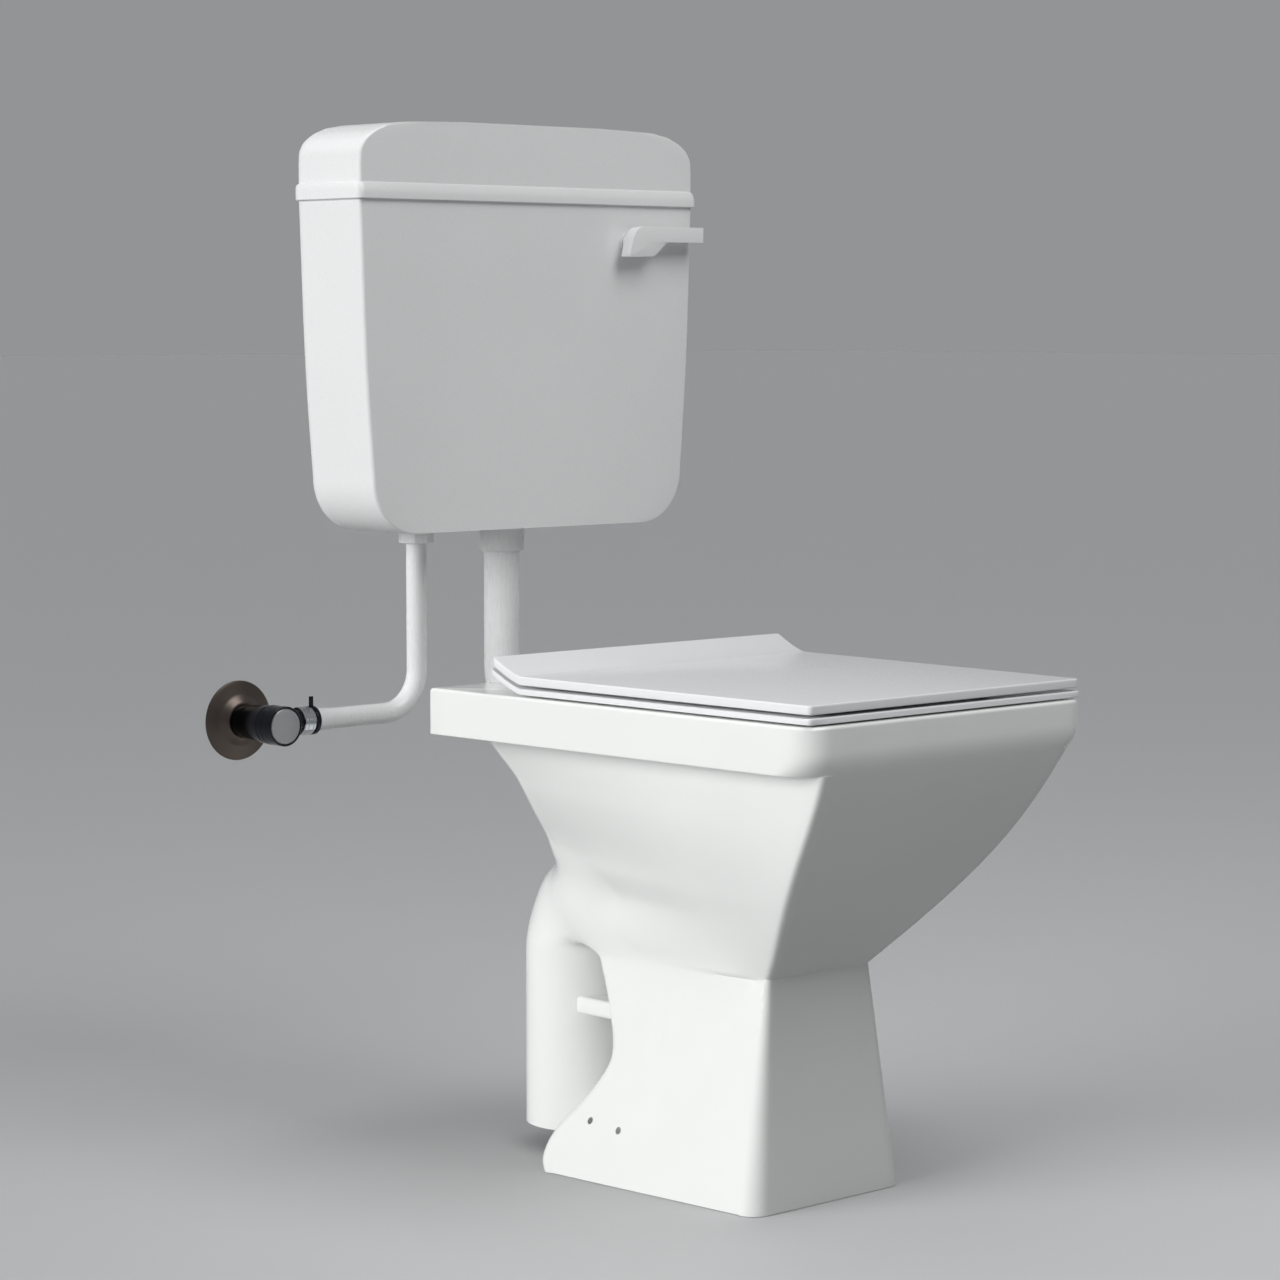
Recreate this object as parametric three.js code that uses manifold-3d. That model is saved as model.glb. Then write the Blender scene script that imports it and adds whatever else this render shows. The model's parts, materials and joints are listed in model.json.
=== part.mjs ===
// A floor-standing wash-down toilet: a square glazed pan with a thin seat and lid, a slim cistern
// on the wall, its flush pipe, and the water inlet with its angle valve.
// Millimetres, +Z up. The front of the pan faces -Y, the wall is on the +Y side, and +X is the
// side of the flush lever. Places along Y are counted from the front of the rim.
import * as THREE from 'three';
import { mergeVertices } from 'three/addons/utils/BufferGeometryUtils.js';
import Module from 'manifold-3d';

const wasm = await Module();
wasm.setup();

// Clearances and cutters
const gap = 0.3; // between pieces that touch
const overrun = 3; // how far a cutter passes the face that it cuts
const weld = 0.4; // how far two joined forms of one piece run into each other

// Pan: rim slab and deck
const rimTopZ = 415.4;
const slabDepth = 39;
const panLength = 438;
const rimHalfWidth = 165;
const deckHalfWidth = 175;
const rimCornerRadius = 27;
const rimCornerFootRadius = 42;
const deckCornerRadius = 2.5;
const slabEdgeRadius = 5;
const slabFrontDrop = 14; // height over which its front falls back to meet the body
const rimOpeningHalfWidth = 108;
const rimOpeningFrontY = 42;
const deckDepth = 120; // from the rim opening to the back edge
const rimOpeningBackY = panLength - deckDepth;
const rimOpeningFrontRadius = 82;
const rimOpeningBackRadius = 56;
const rimLip = 9; // thickness of the inner lip that hides the rim channel
const rimWall = 14; // ceramic between the rim channel and the outside
const bowlMouthHalfWidth = 131;
const rimChannelRoof = 13; // ceramic above the channel
const rimChannelFloor = 5; // ceramic between the channel and the underside of the slab
const rimMouthChamfer = 4;

// Pan: body under the slab
const waistZ = 190;
const waistHalfWidth = 59;
const waistFrontY = 149;
const bodyHeadHalfWidth = 143; // front crease at the slab
const bodyHeadFrontY = 5;
const toeHalfWidth = 85; // front crease at the floor
const toeFrontY = 139.5;
const heelHalfWidth = 104;
const heelSetIn = 57;
const heelY = panLength - heelSetIn;
const creaseRadiusTop = 5;
const creaseRadiusToe = 24;
const heelRadius = 13;
const headBackRadius = 12;
const sideBulge = 8;
const headBackSetIn = 23;
const headBackY = panLength - headBackSetIn;
const footWall = 17;
const footHollowHeight = 60;
const footHollowDraft = 12;
const ridgeRun = 0.62; // how far back the side's ridge goes for each unit that it falls
const sideSplay = 0.063; // how much the foot's side opens towards the back, per unit of length
const screwHoleRadius = 3.2;
const screwHoleZ = 57;
const screwHoleSetIn = 45; // from the heel to the back hole
const screwHolePitch = 38;
const screwHoleBackY = heelY - screwHoleSetIn;
const screwHoleFrontY = screwHoleBackY - screwHolePitch;
const screwHoleTilt = 0.5; // radians below level, pointing in

// Pan: bowl and trap
const sumpFloorZ = 76;
const legSetIn = 2; // axis of the leg in front of the deck's back edge
const legY = panLength - legSetIn;
const legRadius = 52;
const legFootZ = 20;
const trapBoreRadius = 37;
const crownRadius = 75; // centre line of the bend at the top of the trap
const crownZ = 168; // centre of that bend
const crownSweep = 155 * THREE.MathUtils.DEG2RAD;
const sumpEntryShare = 0.585; // place of the sump's entry along the rim opening
const sumpEntryY = rimOpeningBackY * sumpEntryShare;
const sumpAxisZ = 113;
const tieBarHalfWidth = 40;
const tieBarDepth = 15;
const tieBarZ = 132;
const tieBarSunk = 20; // how far the bar runs into the leg
const tieBarRoot = 59; // and into the body
const tieBarBackY = legY - legRadius + tieBarSunk;
const tieBarFrontY = heelY - tieBarRoot;

// Pan: flush inlet at the back and the seat fixing
const inletZ = 368;
const hornRadius = 30;
const hornBoreRadius = 21;
const fixingX = 77.5;
const fixingSetIn = 54;
const fixingY = panLength - fixingSetIn;
const fixingHoleRadius = 7;
const deckThickness = 41;
const nutPocketWidth = 42;
const nutPocketReach = 20; // in front of the fixing
const nutPocketFrontY = fixingY - nutPocketReach;
const nutPocketDepth = 46;

// Seat and lid
const seatLift = 1.4; // seat's underside above the rim
const seatThickness = 5.2;
const lidGap = 2.6;
const lidThickness = 7.4;
const seatFrontY = 5.4;
const seatSetIn = 18.4; // back edge in front of the hinge axis
const seatBackY = fixingY - seatSetIn;
const seatFrontHalfWidth = 158.5;
const seatBackHalfWidth = 169.5;
const lidInset = 1;
const sweepLength = 35.6;
const sweepStartY = seatBackY - sweepLength;
const sweepRise = 15.3;
const edgeChamfer = 1.3;
const seatHoleHalfWidth = 103;
const seatHoleFrontY = 50;
const seatHoleSetIn = 18; // its back edge in front of the rim opening's
const seatHoleBackY = rimOpeningBackY - seatHoleSetIn;
const seatHoleFrontRadius = 84;
const seatHoleBackRadius = 54;
const bumperRadius = 8;
const bumperPocket = 2.4;
const bumperPlay = 0.4;
const seatBumperX = 134;
const seatBumperFrontY = 62;
const seatBumperSetIn = 79.6;
const seatBumperBackY = seatBackY - seatBumperSetIn;
const lidBumperX = 128;
const lidBumperFrontY = 88;
const lidBumperSetIn = 103.6;
const lidBumperBackY = seatBackY - lidBumperSetIn;

// Hinges
const hingeZ = 432;
const pinRadius = 4;
const knuckleRadius = 8.5;
const barrelLength = 22;
const knuckleLength = 11;
const knuckleSpace = 0.5; // between knuckles along the pin
const pinClearance = 0.35;
const hingeFootRadius = 20;
const hingeFootHeight = 5;
const studRadius = 4;
const studHang = 66.4; // below the rim
const studBottomZ = rimTopZ - studHang;
const studSeat = 5; // how far the stud runs up into the hinge foot
const rubberWasherRadius = 13;
const rubberWasherHeight = 5;
const wingNutRadius = 8;
const wingNutHeight = 11;
const wingSpan = 17;
const wingThickness = 3;

// Cistern
const cisternSetBack = 65; // its front behind the pan's back edge
const cisternFrontY = panLength + cisternSetBack;
const cisternDepth = 95;
const cisternBottomZ = 541;
const seamZ = 826.7;
const tankTopHalfWidth = 194;
const tankMidHalfWidth = 187;
const tankMidZ = 663;
const tankLowHalfWidth = 181;
const tankCornerRadius = 47;
const tankWall = 4;
const tankFrontEdge = 3;
const tankBackEdge = 17;
const tankNeck = 11.3; // the rim of the tank inside the lid's band
const bandProud = 3.5;
const bandHeight = 14.5;
const bandWall = 3.2;
const lidHeight = 67.8;
const lidTopZ = seamZ + lidHeight;
const lidWall = 3.5;
const lidShoulderLift = 31.3; // where the lid's sides start to round over, above the seam
const lidShoulderZ = seamZ + lidShoulderLift;

// Flush valve in the tank
const outletSetback = 43.4;
const tailRadius = 16.7;
const tailBore = 13.5;
const tailLength = 16;
const valveFlangeRadius = 29;
const valveFlangeHeight = 5;
const washerThickness = 2;
const throatRadius = 20;
const throatWall = 5;
const seatRimLift = 31; // the plug's seat above the tank's floor
const seatRimZ = cisternBottomZ + tankWall + seatRimLift;
const overflowX = -43;
const overflowRadius = 12;
const overflowBore = 9.5;
const overflowDrop = 50.7; // its top under the tank's seam
const overflowSocketLift = 14;
const overflowTopZ = seamZ - overflowDrop;
const overflowSocketZ = cisternBottomZ + tankWall + overflowSocketLift;
const overflowSocketWall = 4;
const cagePostWidth = 8;
const cagePostDepth = 4;
const cageHeight = 74;
const cageTopZ = seatRimZ + cageHeight;
const cageBarHeight = 6;
const plugRadius = 22.5;
const plugHeight = 26;
const plugSealRadius = 24;
const plugSealHeight = 3.4;
const stemRadius = 4;
const linkWindowWidth = 8;
const linkWindowHeight = 11;
const linkCheek = 3;

// Flush lever
const pivotSetIn = 82; // from the tank's side at the seam
const pivotX = tankTopHalfWidth - pivotSetIn;
const pivotZ = 794;
const leverThickness = 11;
const leverStandOff = 18.5; // its face in front of the cistern's
const leverFrontY = cisternFrontY - leverStandOff;
const leverTipSetIn = 3;
const leverTipX = tankTopHalfWidth - leverTipSetIn;
const leverHeelReach = 14; // from the pivot to the hub's end
const leverHeelX = pivotX - leverHeelReach;
const leverTopZ = 808;
const leverHandleZ = 794.4; // underside of the handle
const leverHubZ = 780.5; // underside of the hub
const leverNeckReach = 35; // from the pivot to where the handle starts
const leverNeckX = pivotX + leverNeckReach;
const leverChinReach = 17; // and to the end of the hub's foot
const leverChinX = pivotX + leverChinReach;
const leverHeelSlant = 10;
const leverBossRadius = 7;
const leverEdge = 1.2;
const spindleRadius = 4;
const bushRadius = 7.5;
const bushFlangeRadius = 8.2;
const bushFlangeHeight = 2;
const bushNutRadius = 13;
const bushNutHeight = 5;
const armHubRadius = 8;
const armHubLength = 10;
const armHeight = 5;
const armThickness = 4;
const armReachPast = 6; // how far the arm's tip passes the lifting link

// Fill valve in the tank
const fillX = -91;
const fillSetback = 53;
const shankRadius = 8;
const shankBore = 4.5;
const shankLength = 9;
const fillFlangeRadius = 17;
const fillFlangeHeight = 4;
const columnRadius = 10;
const columnStopLift = 91;
const columnStopZ = cisternBottomZ + tankWall + columnStopLift;
const columnStopRadius = 13;
const columnStopHeight = 7;
const fillHeadDrop = 81.7; // under the tank's seam
const fillHeadZ = seamZ - fillHeadDrop;
const fillHeadRadius = 19;
const fillHeadHeight = 30;
const fillCapHeight = 8;
const fillCapRadius = 20.5;
const capSpigotRadius = 5;
const capSpigotHeight = 6;
const floatRadius = 31;
const floatHeight = 62;
const floatWall = 2.5;
const floatPlay = 1.2;
const floatArmPivotX = -71;
const floatArmLift = 45;
const floatArmZ = fillHeadZ + floatArmLift;
const floatArmThickness = 4;
const floatArmWidth = 8;
const floatArmHubRadius = 5;
const floatPinRadius = 1.6;
const floatLugWidth = 3;
const floatRodX = -119.5;
const floatRodRadius = 1.6;

// Pipes, nuts and valve outside
const flushPipeRadius = 16;
const flushPipeWall = 2;
const flushBendRadius = 50;
const flushPipeEntry = 30; // how far the pipe runs into the pan
const flushPipeEndY = panLength - flushPipeEntry;
const flushCollarHeight = 2;
const flushSealHeight = 2;
const couplingRadius = 19.6;
const couplingTaper = 1.2;
const couplingHeight = 22;
const couplingShoulder = 4;
const couplingRibs = 12;
const connectorFlangeRadius = 27;
const connectorFlangeDepth = 5;
const connectorLength = 22;
const inletPipeRadius = 9;
const inletPipeWall = 1.6;
const inletBendRadius = 37;
const inletRunZ = 381;
const inletRunEndX = -212;
const inletFlareRadius = 10.6;
const inletFlareLength = 30;
const inletNutRadius = 15;
const inletNutHeight = 11.6;
const inletNutRecess = 3.4;
const angleValveX = -256;
const valveReach = 68; // the knob's face out from the wall
const valveFaceY = cisternFrontY + cisternDepth - valveReach;
const valveHeadRadius = 17;
const valveNeckRadius = 14;
const valveKnobLength = 14;
const valveCapRim = 1.4; // width of the knob's rim round its cap
const valveCapThickness = 1.5;
const valveFlangeDishRadius = 34.4;
const valveFlangeDepth = 9;
const valveFlangeRim = 1.6;
const valveOutletRadius = 10.4;
const valveOutletLength = 15;
const valveOutletNutRadius = 12.4;
const valveOutletNutLength = 12;
const valveSpindleRadius = 3;
const valveSpindleLength = 9;
const valveWaterway = 5;
const clampRadius = 12.6;
const clampLength = 4;
const clampEar = 8;
const clampEarThickness = 1.6;

// Facets
const roundSides = 14;
const smallSides = 10;

// Derived places
const slabFrontRun = bodyHeadFrontY - creaseRadiusTop * (1 - Math.SQRT1_2);
const slabFootZ = rimTopZ - slabDepth;
const deckFootZ = rimTopZ - deckThickness;
const seatBottomZ = rimTopZ + seatLift;
const seatTopZ = seatBottomZ + seatThickness;
const lidBottomZ = seatTopZ + lidGap;
const hingeY = fixingY;
const wallY = cisternFrontY + cisternDepth;
const outletY = cisternFrontY + outletSetback;
const fillY = cisternFrontY + fillSetback;
const tankFloorZ = cisternBottomZ + tankWall;
const tailFootZ = cisternBottomZ - tailLength;
const tankCeilingZ = seamZ + tankNeck;
const footReferenceY = toeFrontY + footWall / 2 - creaseRadiusToe * (1 - Math.SQRT1_2);

// Finishes
const finish = (color, roughness, metalness = 0) =>
  new THREE.MeshStandardMaterial({ color, roughness, metalness });
const glaze = finish('#f3f4f4', 0.08);
const seatPlastic = finish('#f1f2f2', 0.18);
const tankPlastic = finish('#eeefef', 0.28);
const pipePlastic = finish('#ecedec', 0.3);
const fittingPlastic = finish('#e4e6e8', 0.45);
const darkFitting = finish('#3a3d42', 0.5);
const sealRubber = finish('#1d1e20', 0.8);
const greyRubber = finish('#8b8d8f', 0.75);
const plated = finish('#c9ccd0', 0.12, 1);
const darkPlated = finish('#3b3c40', 0.14, 1);
const satinSteel = finish('#a79f99', 0.34, 1);
const steel = finish('#b6b9bd', 0.3, 1);

const toilet = new THREE.Group();
const part = (name, geometry, material) => {
  const mesh = new THREE.Mesh(geometry, material);
  mesh.name = name;
  toilet.add(mesh);
  return mesh;
};

// Closed geometry into a solid: shared vertices merged, flat slivers dropped, faces outwards
function solid(geometry) {
  const bare = geometry.clone();
  bare.deleteAttribute('normal');
  bare.deleteAttribute('uv');
  const merged = mergeVertices(bare);
  const points = merged.attributes.position.array;
  const index = merged.index.array;
  const triangles = [];
  let volume = 0;
  for (let i = 0; i < index.length; i += 3) {
    const [a, b, c] = [index[i], index[i + 1], index[i + 2]];
    if (a === b || b === c || c === a) continue;
    triangles.push([a, b, c]);
    const [p, q, r] = [a, b, c].map((k) => new THREE.Vector3().fromArray(points, k * 3));
    volume += p.dot(q.cross(r));
  }
  const turned = volume < 0 ? triangles.map(([a, b, c]) => [a, c, b]) : triangles;
  const mesh = { numProp: 3, vertProperties: points, triVerts: new Uint32Array(turned.flat()) };
  return new wasm.Manifold(new wasm.Mesh(mesh));
}

// A solid back into geometry
function surface(body) {
  const mesh = body.getMesh();
  const geometry = new THREE.BufferGeometry();
  geometry.setAttribute('position', new THREE.BufferAttribute(mesh.vertProperties, 3));
  geometry.setIndex(new THREE.BufferAttribute(mesh.triVerts, 1));
  geometry.computeVertexNormals();
  return geometry;
}

const joined = (...shapes) => shapes.map(solid).reduce((a, b) => a.add(b));
const cut = (body, ...tools) => tools.reduce((a, tool) => a.subtract(solid(tool)), body);

// Smooth value at one place of a table of [place, value] rows
function smooth(rows, at) {
  let i = 0;
  while (i < rows.length - 2 && at > rows[i + 1][0]) i += 1;
  const row = (k) => rows[Math.min(Math.max(k, 0), rows.length - 1)];
  const [before, from, to, after] = [row(i - 1), row(i), row(i + 1), row(i + 2)];
  const span = to[0] - from[0];
  const t = THREE.MathUtils.clamp((at - from[0]) / span, 0, 1);
  const slope = (a, b) => (a === b ? 0 : ((b[1] - a[1]) / (b[0] - a[0])) * span);
  const [m, n] = [slope(before, to), slope(from, after)];
  const [t2, t3] = [t * t, t * t * t];
  return (
    (2 * t3 - 3 * t2 + 1) * from[1] + (t3 - 2 * t2 + t) * m + (3 * t2 - 2 * t3) * to[1] + (t3 - t2) * n
  );
}

// Points of an arc in plan, from one angle to another in quarter turns
function arc(x, y, radius, from, to, steps) {
  const points = [];
  for (let i = 0; i <= steps; i += 1) {
    const angle = (from + ((to - from) * i) / steps) * (Math.PI / 2);
    points.push([x + radius * Math.cos(angle), y + radius * Math.sin(angle)]);
  }
  return points;
}

// Half an outline, front centre to back centre round the +X side, made whole at one height
function ring(half, z) {
  const other = half.slice(1, -1).reverse().map(([x, y]) => [-x, y]);
  return [...half, ...other].map(([x, y]) => new THREE.Vector3(x, y, z));
}

// Half a rounded rectangle that may taper from front to back
function halfRectangle(frontHalf, backHalf, frontY, backY, frontRadius, backRadius, steps = 3) {
  return [
    [0, frontY],
    ...arc(frontHalf - frontRadius, frontY + frontRadius, frontRadius, -1, 0, steps),
    ...arc(backHalf - backRadius, backY - backRadius, backRadius, 0, 1, steps),
    [0, backY],
  ];
}

// Closed surface through equal rings, lowest first, with a fan over each end
function loft(rings) {
  const count = rings[0].length;
  const points = rings.flat();
  const index = [];
  for (let level = 0; level + 1 < rings.length; level += 1) {
    for (let i = 0; i < count; i += 1) {
      const a = level * count + i;
      const b = level * count + ((i + 1) % count);
      index.push(a, b, b + count, a, b + count, a + count);
    }
  }
  const middle = (list) =>
    list.reduce((sum, p) => sum.add(p), new THREE.Vector3()).divideScalar(list.length);
  const [low, high] = [points.length, points.length + 1];
  const top = (rings.length - 1) * count;
  points.push(middle(rings[0]), middle(rings[rings.length - 1]));
  for (let i = 0; i < count; i += 1) {
    const next = (i + 1) % count;
    index.push(low, next, i, high, top + i, top + next);
  }
  const geometry = new THREE.BufferGeometry().setFromPoints(points);
  geometry.setIndex(index);
  geometry.computeVertexNormals();
  return geometry;
}

// Profile of [radius, height] turned round a vertical axis at x, y
function turned(profile, x = 0, y = 0, sides = roundSides) {
  const points = profile.map(([radius, z]) => new THREE.Vector2(radius, z));
  return new THREE.LatheGeometry(points, sides).rotateX(Math.PI / 2).translate(x, y, 0);
}

// Solid disc and ring as turned profiles between two heights
const disc = (radius, low, high, x = 0, y = 0, sides = roundSides) =>
  turned([[0, low], [radius, low], [radius, high], [0, high]], x, y, sides);
const sleeve = (bore, radius, low, high, x = 0, y = 0, sides = roundSides) =>
  turned([[bore, low], [radius, low], [radius, high], [bore, high], [bore, low]], x, y, sides);

// Lay an upright form along X or along Y, about the world origin, then move it
const alongX = (geometry, x, y, z) => geometry.rotateY(Math.PI / 2).translate(x, y, z);
const alongY = (geometry, x, y, z) => geometry.rotateX(-Math.PI / 2).translate(x, y, z);
const box = (x0, x1, y0, y1, z0, z1) =>
  new THREE.BoxGeometry(x1 - x0, y1 - y0, z1 - z0).translate((x0 + x1) / 2, (y0 + y1) / 2, (z0 + z1) / 2);

// Round section, hollow when it has a bore, carried along a smooth path
function pipe(points, radius, bore, steps, sides = roundSides) {
  const section = new THREE.Shape().absarc(0, 0, radius, 0, 2 * Math.PI);
  if (bore) section.holes.push(new THREE.Path().absarc(0, 0, bore, 0, 2 * Math.PI, true));
  const extrudePath = new THREE.CatmullRomCurve3(points, false, 'centripetal');
  return new THREE.ExtrudeGeometry(section, { extrudePath, steps, curveSegments: sides / 2 });
}

// Points along a quarter bend or longer in the plane of two directions
function bend(centre, first, second, radius, sweep, steps) {
  const points = [];
  for (let i = 0; i <= steps; i += 1) {
    const angle = (sweep * i) / steps;
    const point = centre.clone().addScaledVector(first, radius * Math.cos(angle));
    points.push(point.addScaledVector(second, radius * Math.sin(angle)));
  }
  return points;
}

const X = new THREE.Vector3(1, 0, 0);
const Y = new THREE.Vector3(0, 1, 0);
const Z = new THREE.Vector3(0, 0, 1);
const at = (x, y, z) => new THREE.Vector3(x, y, z);

// Rows of [share of the height from waist to slab, share of the way from waist to head]
const creaseWidthShares = [
  [0, 0], [0.08, 0.11], [0.16, 0.23], [0.27, 0.4], [0.38, 0.53], [0.48, 0.655], [0.59, 0.75],
  [0.7, 0.835], [0.81, 0.895], [0.97, 0.99], [1, 1],
];
const creaseSetbackShares = [
  [0, 0], [0.08, 0.093], [0.16, 0.19], [0.27, 0.333], [0.38, 0.45], [0.48, 0.566], [0.59, 0.666],
  [0.7, 0.768], [0.81, 0.858], [0.97, 0.975], [1, 1],
];
// Rows of [share of the body's height, share of the heel's half-width or of its place]
const backWidthShares = [
  [0, 1], [0.02, 0.98], [0.056, 0.916], [0.098, 0.85], [0.152, 0.757], [0.2, 0.7], [0.26, 0.654],
  [0.35, 0.607], [0.45, 0.57], [0.54, 0.533], [0.6, 0.54], [0.65, 0.577], [0.69, 0.65],
  [0.728, 0.712], [0.76, 0.788], [0.812, 0.942], [0.86, 1.077], [0.906, 1.183], [0.946, 1.274],
  [1, 1.39],
];
const backPlaceShares = [
  [0, 1], [0.016, 1.01], [0.056, 1.016], [0.098, 0.997], [0.152, 0.953], [0.2, 0.916],
  [0.26, 0.882], [0.306, 0.882], [0.35, 0.895], [0.4, 0.913], [0.45, 0.937], [0.49, 0.966],
  [0.518, 1.018], [0.54, 1.081], [0.585, 1.097], [0.65, 1.094], [0.69, 1.084], [0.728, 1.066],
  [0.76, 1.058], [0.812, 1.047], [0.86, 1.038], [0.906, 1.04], [0.946, 1.056], [1, 1.08],
];
const bodyLevelShares = [
  0, 0.02, 0.056, 0.098, 0.152, 0.2, 0.26, 0.306, 0.35, 0.4, 0.45, 0.49, 0.505, 0.518, 0.54,
  0.585, 0.64, 0.69, 0.72, 0.747, 0.8, 0.85, 0.91, 0.97, 1,
];

// Outline of the body at one height: flat front between two creases, a ridge that runs from the
// waist down and back across each side, and the heel, which draws in to the waist and back out
function bodyHalf(z) {
  const below = z < waistZ;
  const fall = below ? (waistZ - z) / waistZ : 0;
  const rise = below ? 0 : (z - waistZ) / (slabFootZ - waistZ);
  const creaseX = below
    ? THREE.MathUtils.lerp(waistHalfWidth, toeHalfWidth, fall)
    : THREE.MathUtils.lerp(waistHalfWidth, bodyHeadHalfWidth, smooth(creaseWidthShares, rise));
  const creaseY = below
    ? THREE.MathUtils.lerp(waistFrontY, toeFrontY, fall)
    : THREE.MathUtils.lerp(waistFrontY, bodyHeadFrontY, smooth(creaseSetbackShares, rise));
  const radius = THREE.MathUtils.lerp(creaseRadiusTop, creaseRadiusToe, fall);
  const [cx, cy] = [creaseX - radius * Math.SQRT1_2, creaseY + radius * Math.SQRT1_2];
  const share = z / slabFootZ;
  const backX = heelHalfWidth * smooth(backWidthShares, share);
  const backY = heelY * smooth(backPlaceShares, share);
  const backRadius = THREE.MathUtils.lerp(heelRadius, headBackRadius, Math.max(rise * 2 - 1, 0));
  const sideEndY = backY - backRadius;
  const sideLength = sideEndY - cy;
  const ridgeShare = below ? Math.min(((waistZ - z) * ridgeRun + radius) / sideLength, 0.72) : 0.3;
  const flankShare = (1 + ridgeShare) / 2;
  const sideX = cx + radius;
  const straight = (s) => sideX + (backX - sideX) * s;
  const swell = sideBulge * Math.sin(Math.PI * rise);
  const ridgeY = cy + sideLength * ridgeShare;
  const ridgeX = below ? sideX + sideSplay * (ridgeY - cy) : straight(ridgeShare) + swell;
  const flankX = below ? (ridgeX + backX) / 2 : straight(flankShare) + swell;
  return [
    [0, cy - radius],
    ...arc(cx, cy, radius, -1, 0, 3),
    [ridgeX, ridgeY],
    [flankX, cy + sideLength * flankShare],
    ...arc(backX - backRadius, sideEndY, backRadius, 0, 1, 3),
    [0, backY],
  ];
}

// Rim slab: its front foot falls back to meet the body, and its top edge is rounded
function slabHalf(inset, fallBack, cornerRadius) {
  return halfRectangle(
    rimHalfWidth - inset, deckHalfWidth - inset, fallBack + inset, panLength - inset,
    cornerRadius, deckCornerRadius,
  );
}

function rimSlab() {
  const rings = [
    ring(slabHalf(0, slabFrontRun, rimCornerFootRadius), slabFootZ),
    ring(slabHalf(0, slabFrontRun / 4, rimCornerRadius), slabFootZ + slabFrontDrop / 2),
    ring(slabHalf(0, 0, rimCornerRadius), slabFootZ + slabFrontDrop),
  ];
  const steps = 3;
  for (let i = 0; i <= steps; i += 1) {
    const angle = (i / steps) * (Math.PI / 2);
    const inset = slabEdgeRadius * (1 - Math.cos(angle));
    const z = rimTopZ - slabEdgeRadius * (1 - Math.sin(angle));
    rings.push(ring(slabHalf(inset, 0, rimCornerRadius), z));
  }
  return loft(rings);
}

// Centre line of the waterway: out of the sump, up and over the crown, down the leg
function trapPath(end) {
  const crown = at(0, legY - crownRadius, crownZ);
  const over = bend(crown, Y, Z, crownRadius, crownSweep, 8);
  const top = over[over.length - 1];
  const down = Math.cos(crownSweep);
  const dropZ = (top.z - sumpAxisZ) / 2;
  return [
    at(0, legY, end),
    at(0, legY, (end + crownZ) / 2),
    ...over,
    at(0, top.y + (dropZ * Math.cos(crownSweep - Math.PI / 2)) / down, top.z - dropZ),
    at(0, (top.y + sumpEntryY) / 2, sumpAxisZ + trapBoreRadius / 8),
    at(0, sumpEntryY, sumpAxisZ),
  ];
}

// Bowl: rows of [height share from the sump floor to the slab's foot, half-width share of the
// bowl's mouth, place of the front wall and of the back wall as shares of the rim opening's back]
const bowlShares = [
  [0, 0.16, 0.6, 0.695], [0.05, 0.25, 0.55, 0.735], [0.17, 0.29, 0.53, 0.745],
  [0.36, 0.35, 0.53, 0.752], [0.5, 0.48, 0.43, 0.79], [0.62, 0.66, 0.31, 0.865],
  [0.75, 0.84, 0.19, 0.955], [0.88, 0.95, 0.1, 1.02], [0.96, 0.99, 0.08, 1.05], [1, 1, 0.075, 1.06],
];

function bowl() {
  const rings = bowlShares.map(([height, width, front, back]) => {
    const half = bowlMouthHalfWidth * width;
    const [y0, y1] = [rimOpeningBackY * front, rimOpeningBackY * back];
    const round = Math.min(half, (y1 - y0) / 2);
    const frontRadius = THREE.MathUtils.lerp(round, Math.min(round, rimOpeningFrontRadius), height);
    const backRadius = THREE.MathUtils.lerp(round, Math.min(round, rimOpeningBackRadius), height);
    const z = THREE.MathUtils.lerp(sumpFloorZ, slabFootZ + rimChannelFloor * 2, height);
    return ring(halfRectangle(half, half, y0, y1, frontRadius * 0.98, backRadius * 0.98), z);
  });
  return loft(rings);
}

// Outline round the rim opening, moved outwards by a distance
const openingHalf = (out) =>
  halfRectangle(
    rimOpeningHalfWidth + out, rimOpeningHalfWidth + out, rimOpeningFrontY - out,
    rimOpeningBackY + out, rimOpeningFrontRadius + out, rimOpeningBackRadius + out,
  );
const prism = (half, low, high) => loft([ring(half, low), ring(half, high)]);

function screwHole(side, y) {
  const length = heelHalfWidth;
  const hole = disc(screwHoleRadius, -length / 2, length / 2, 0, 0, smallSides);
  return alongX(hole, 0, 0, 0).rotateY(side * screwHoleTilt).translate(side * heelHalfWidth, y, screwHoleZ);
}

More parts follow.
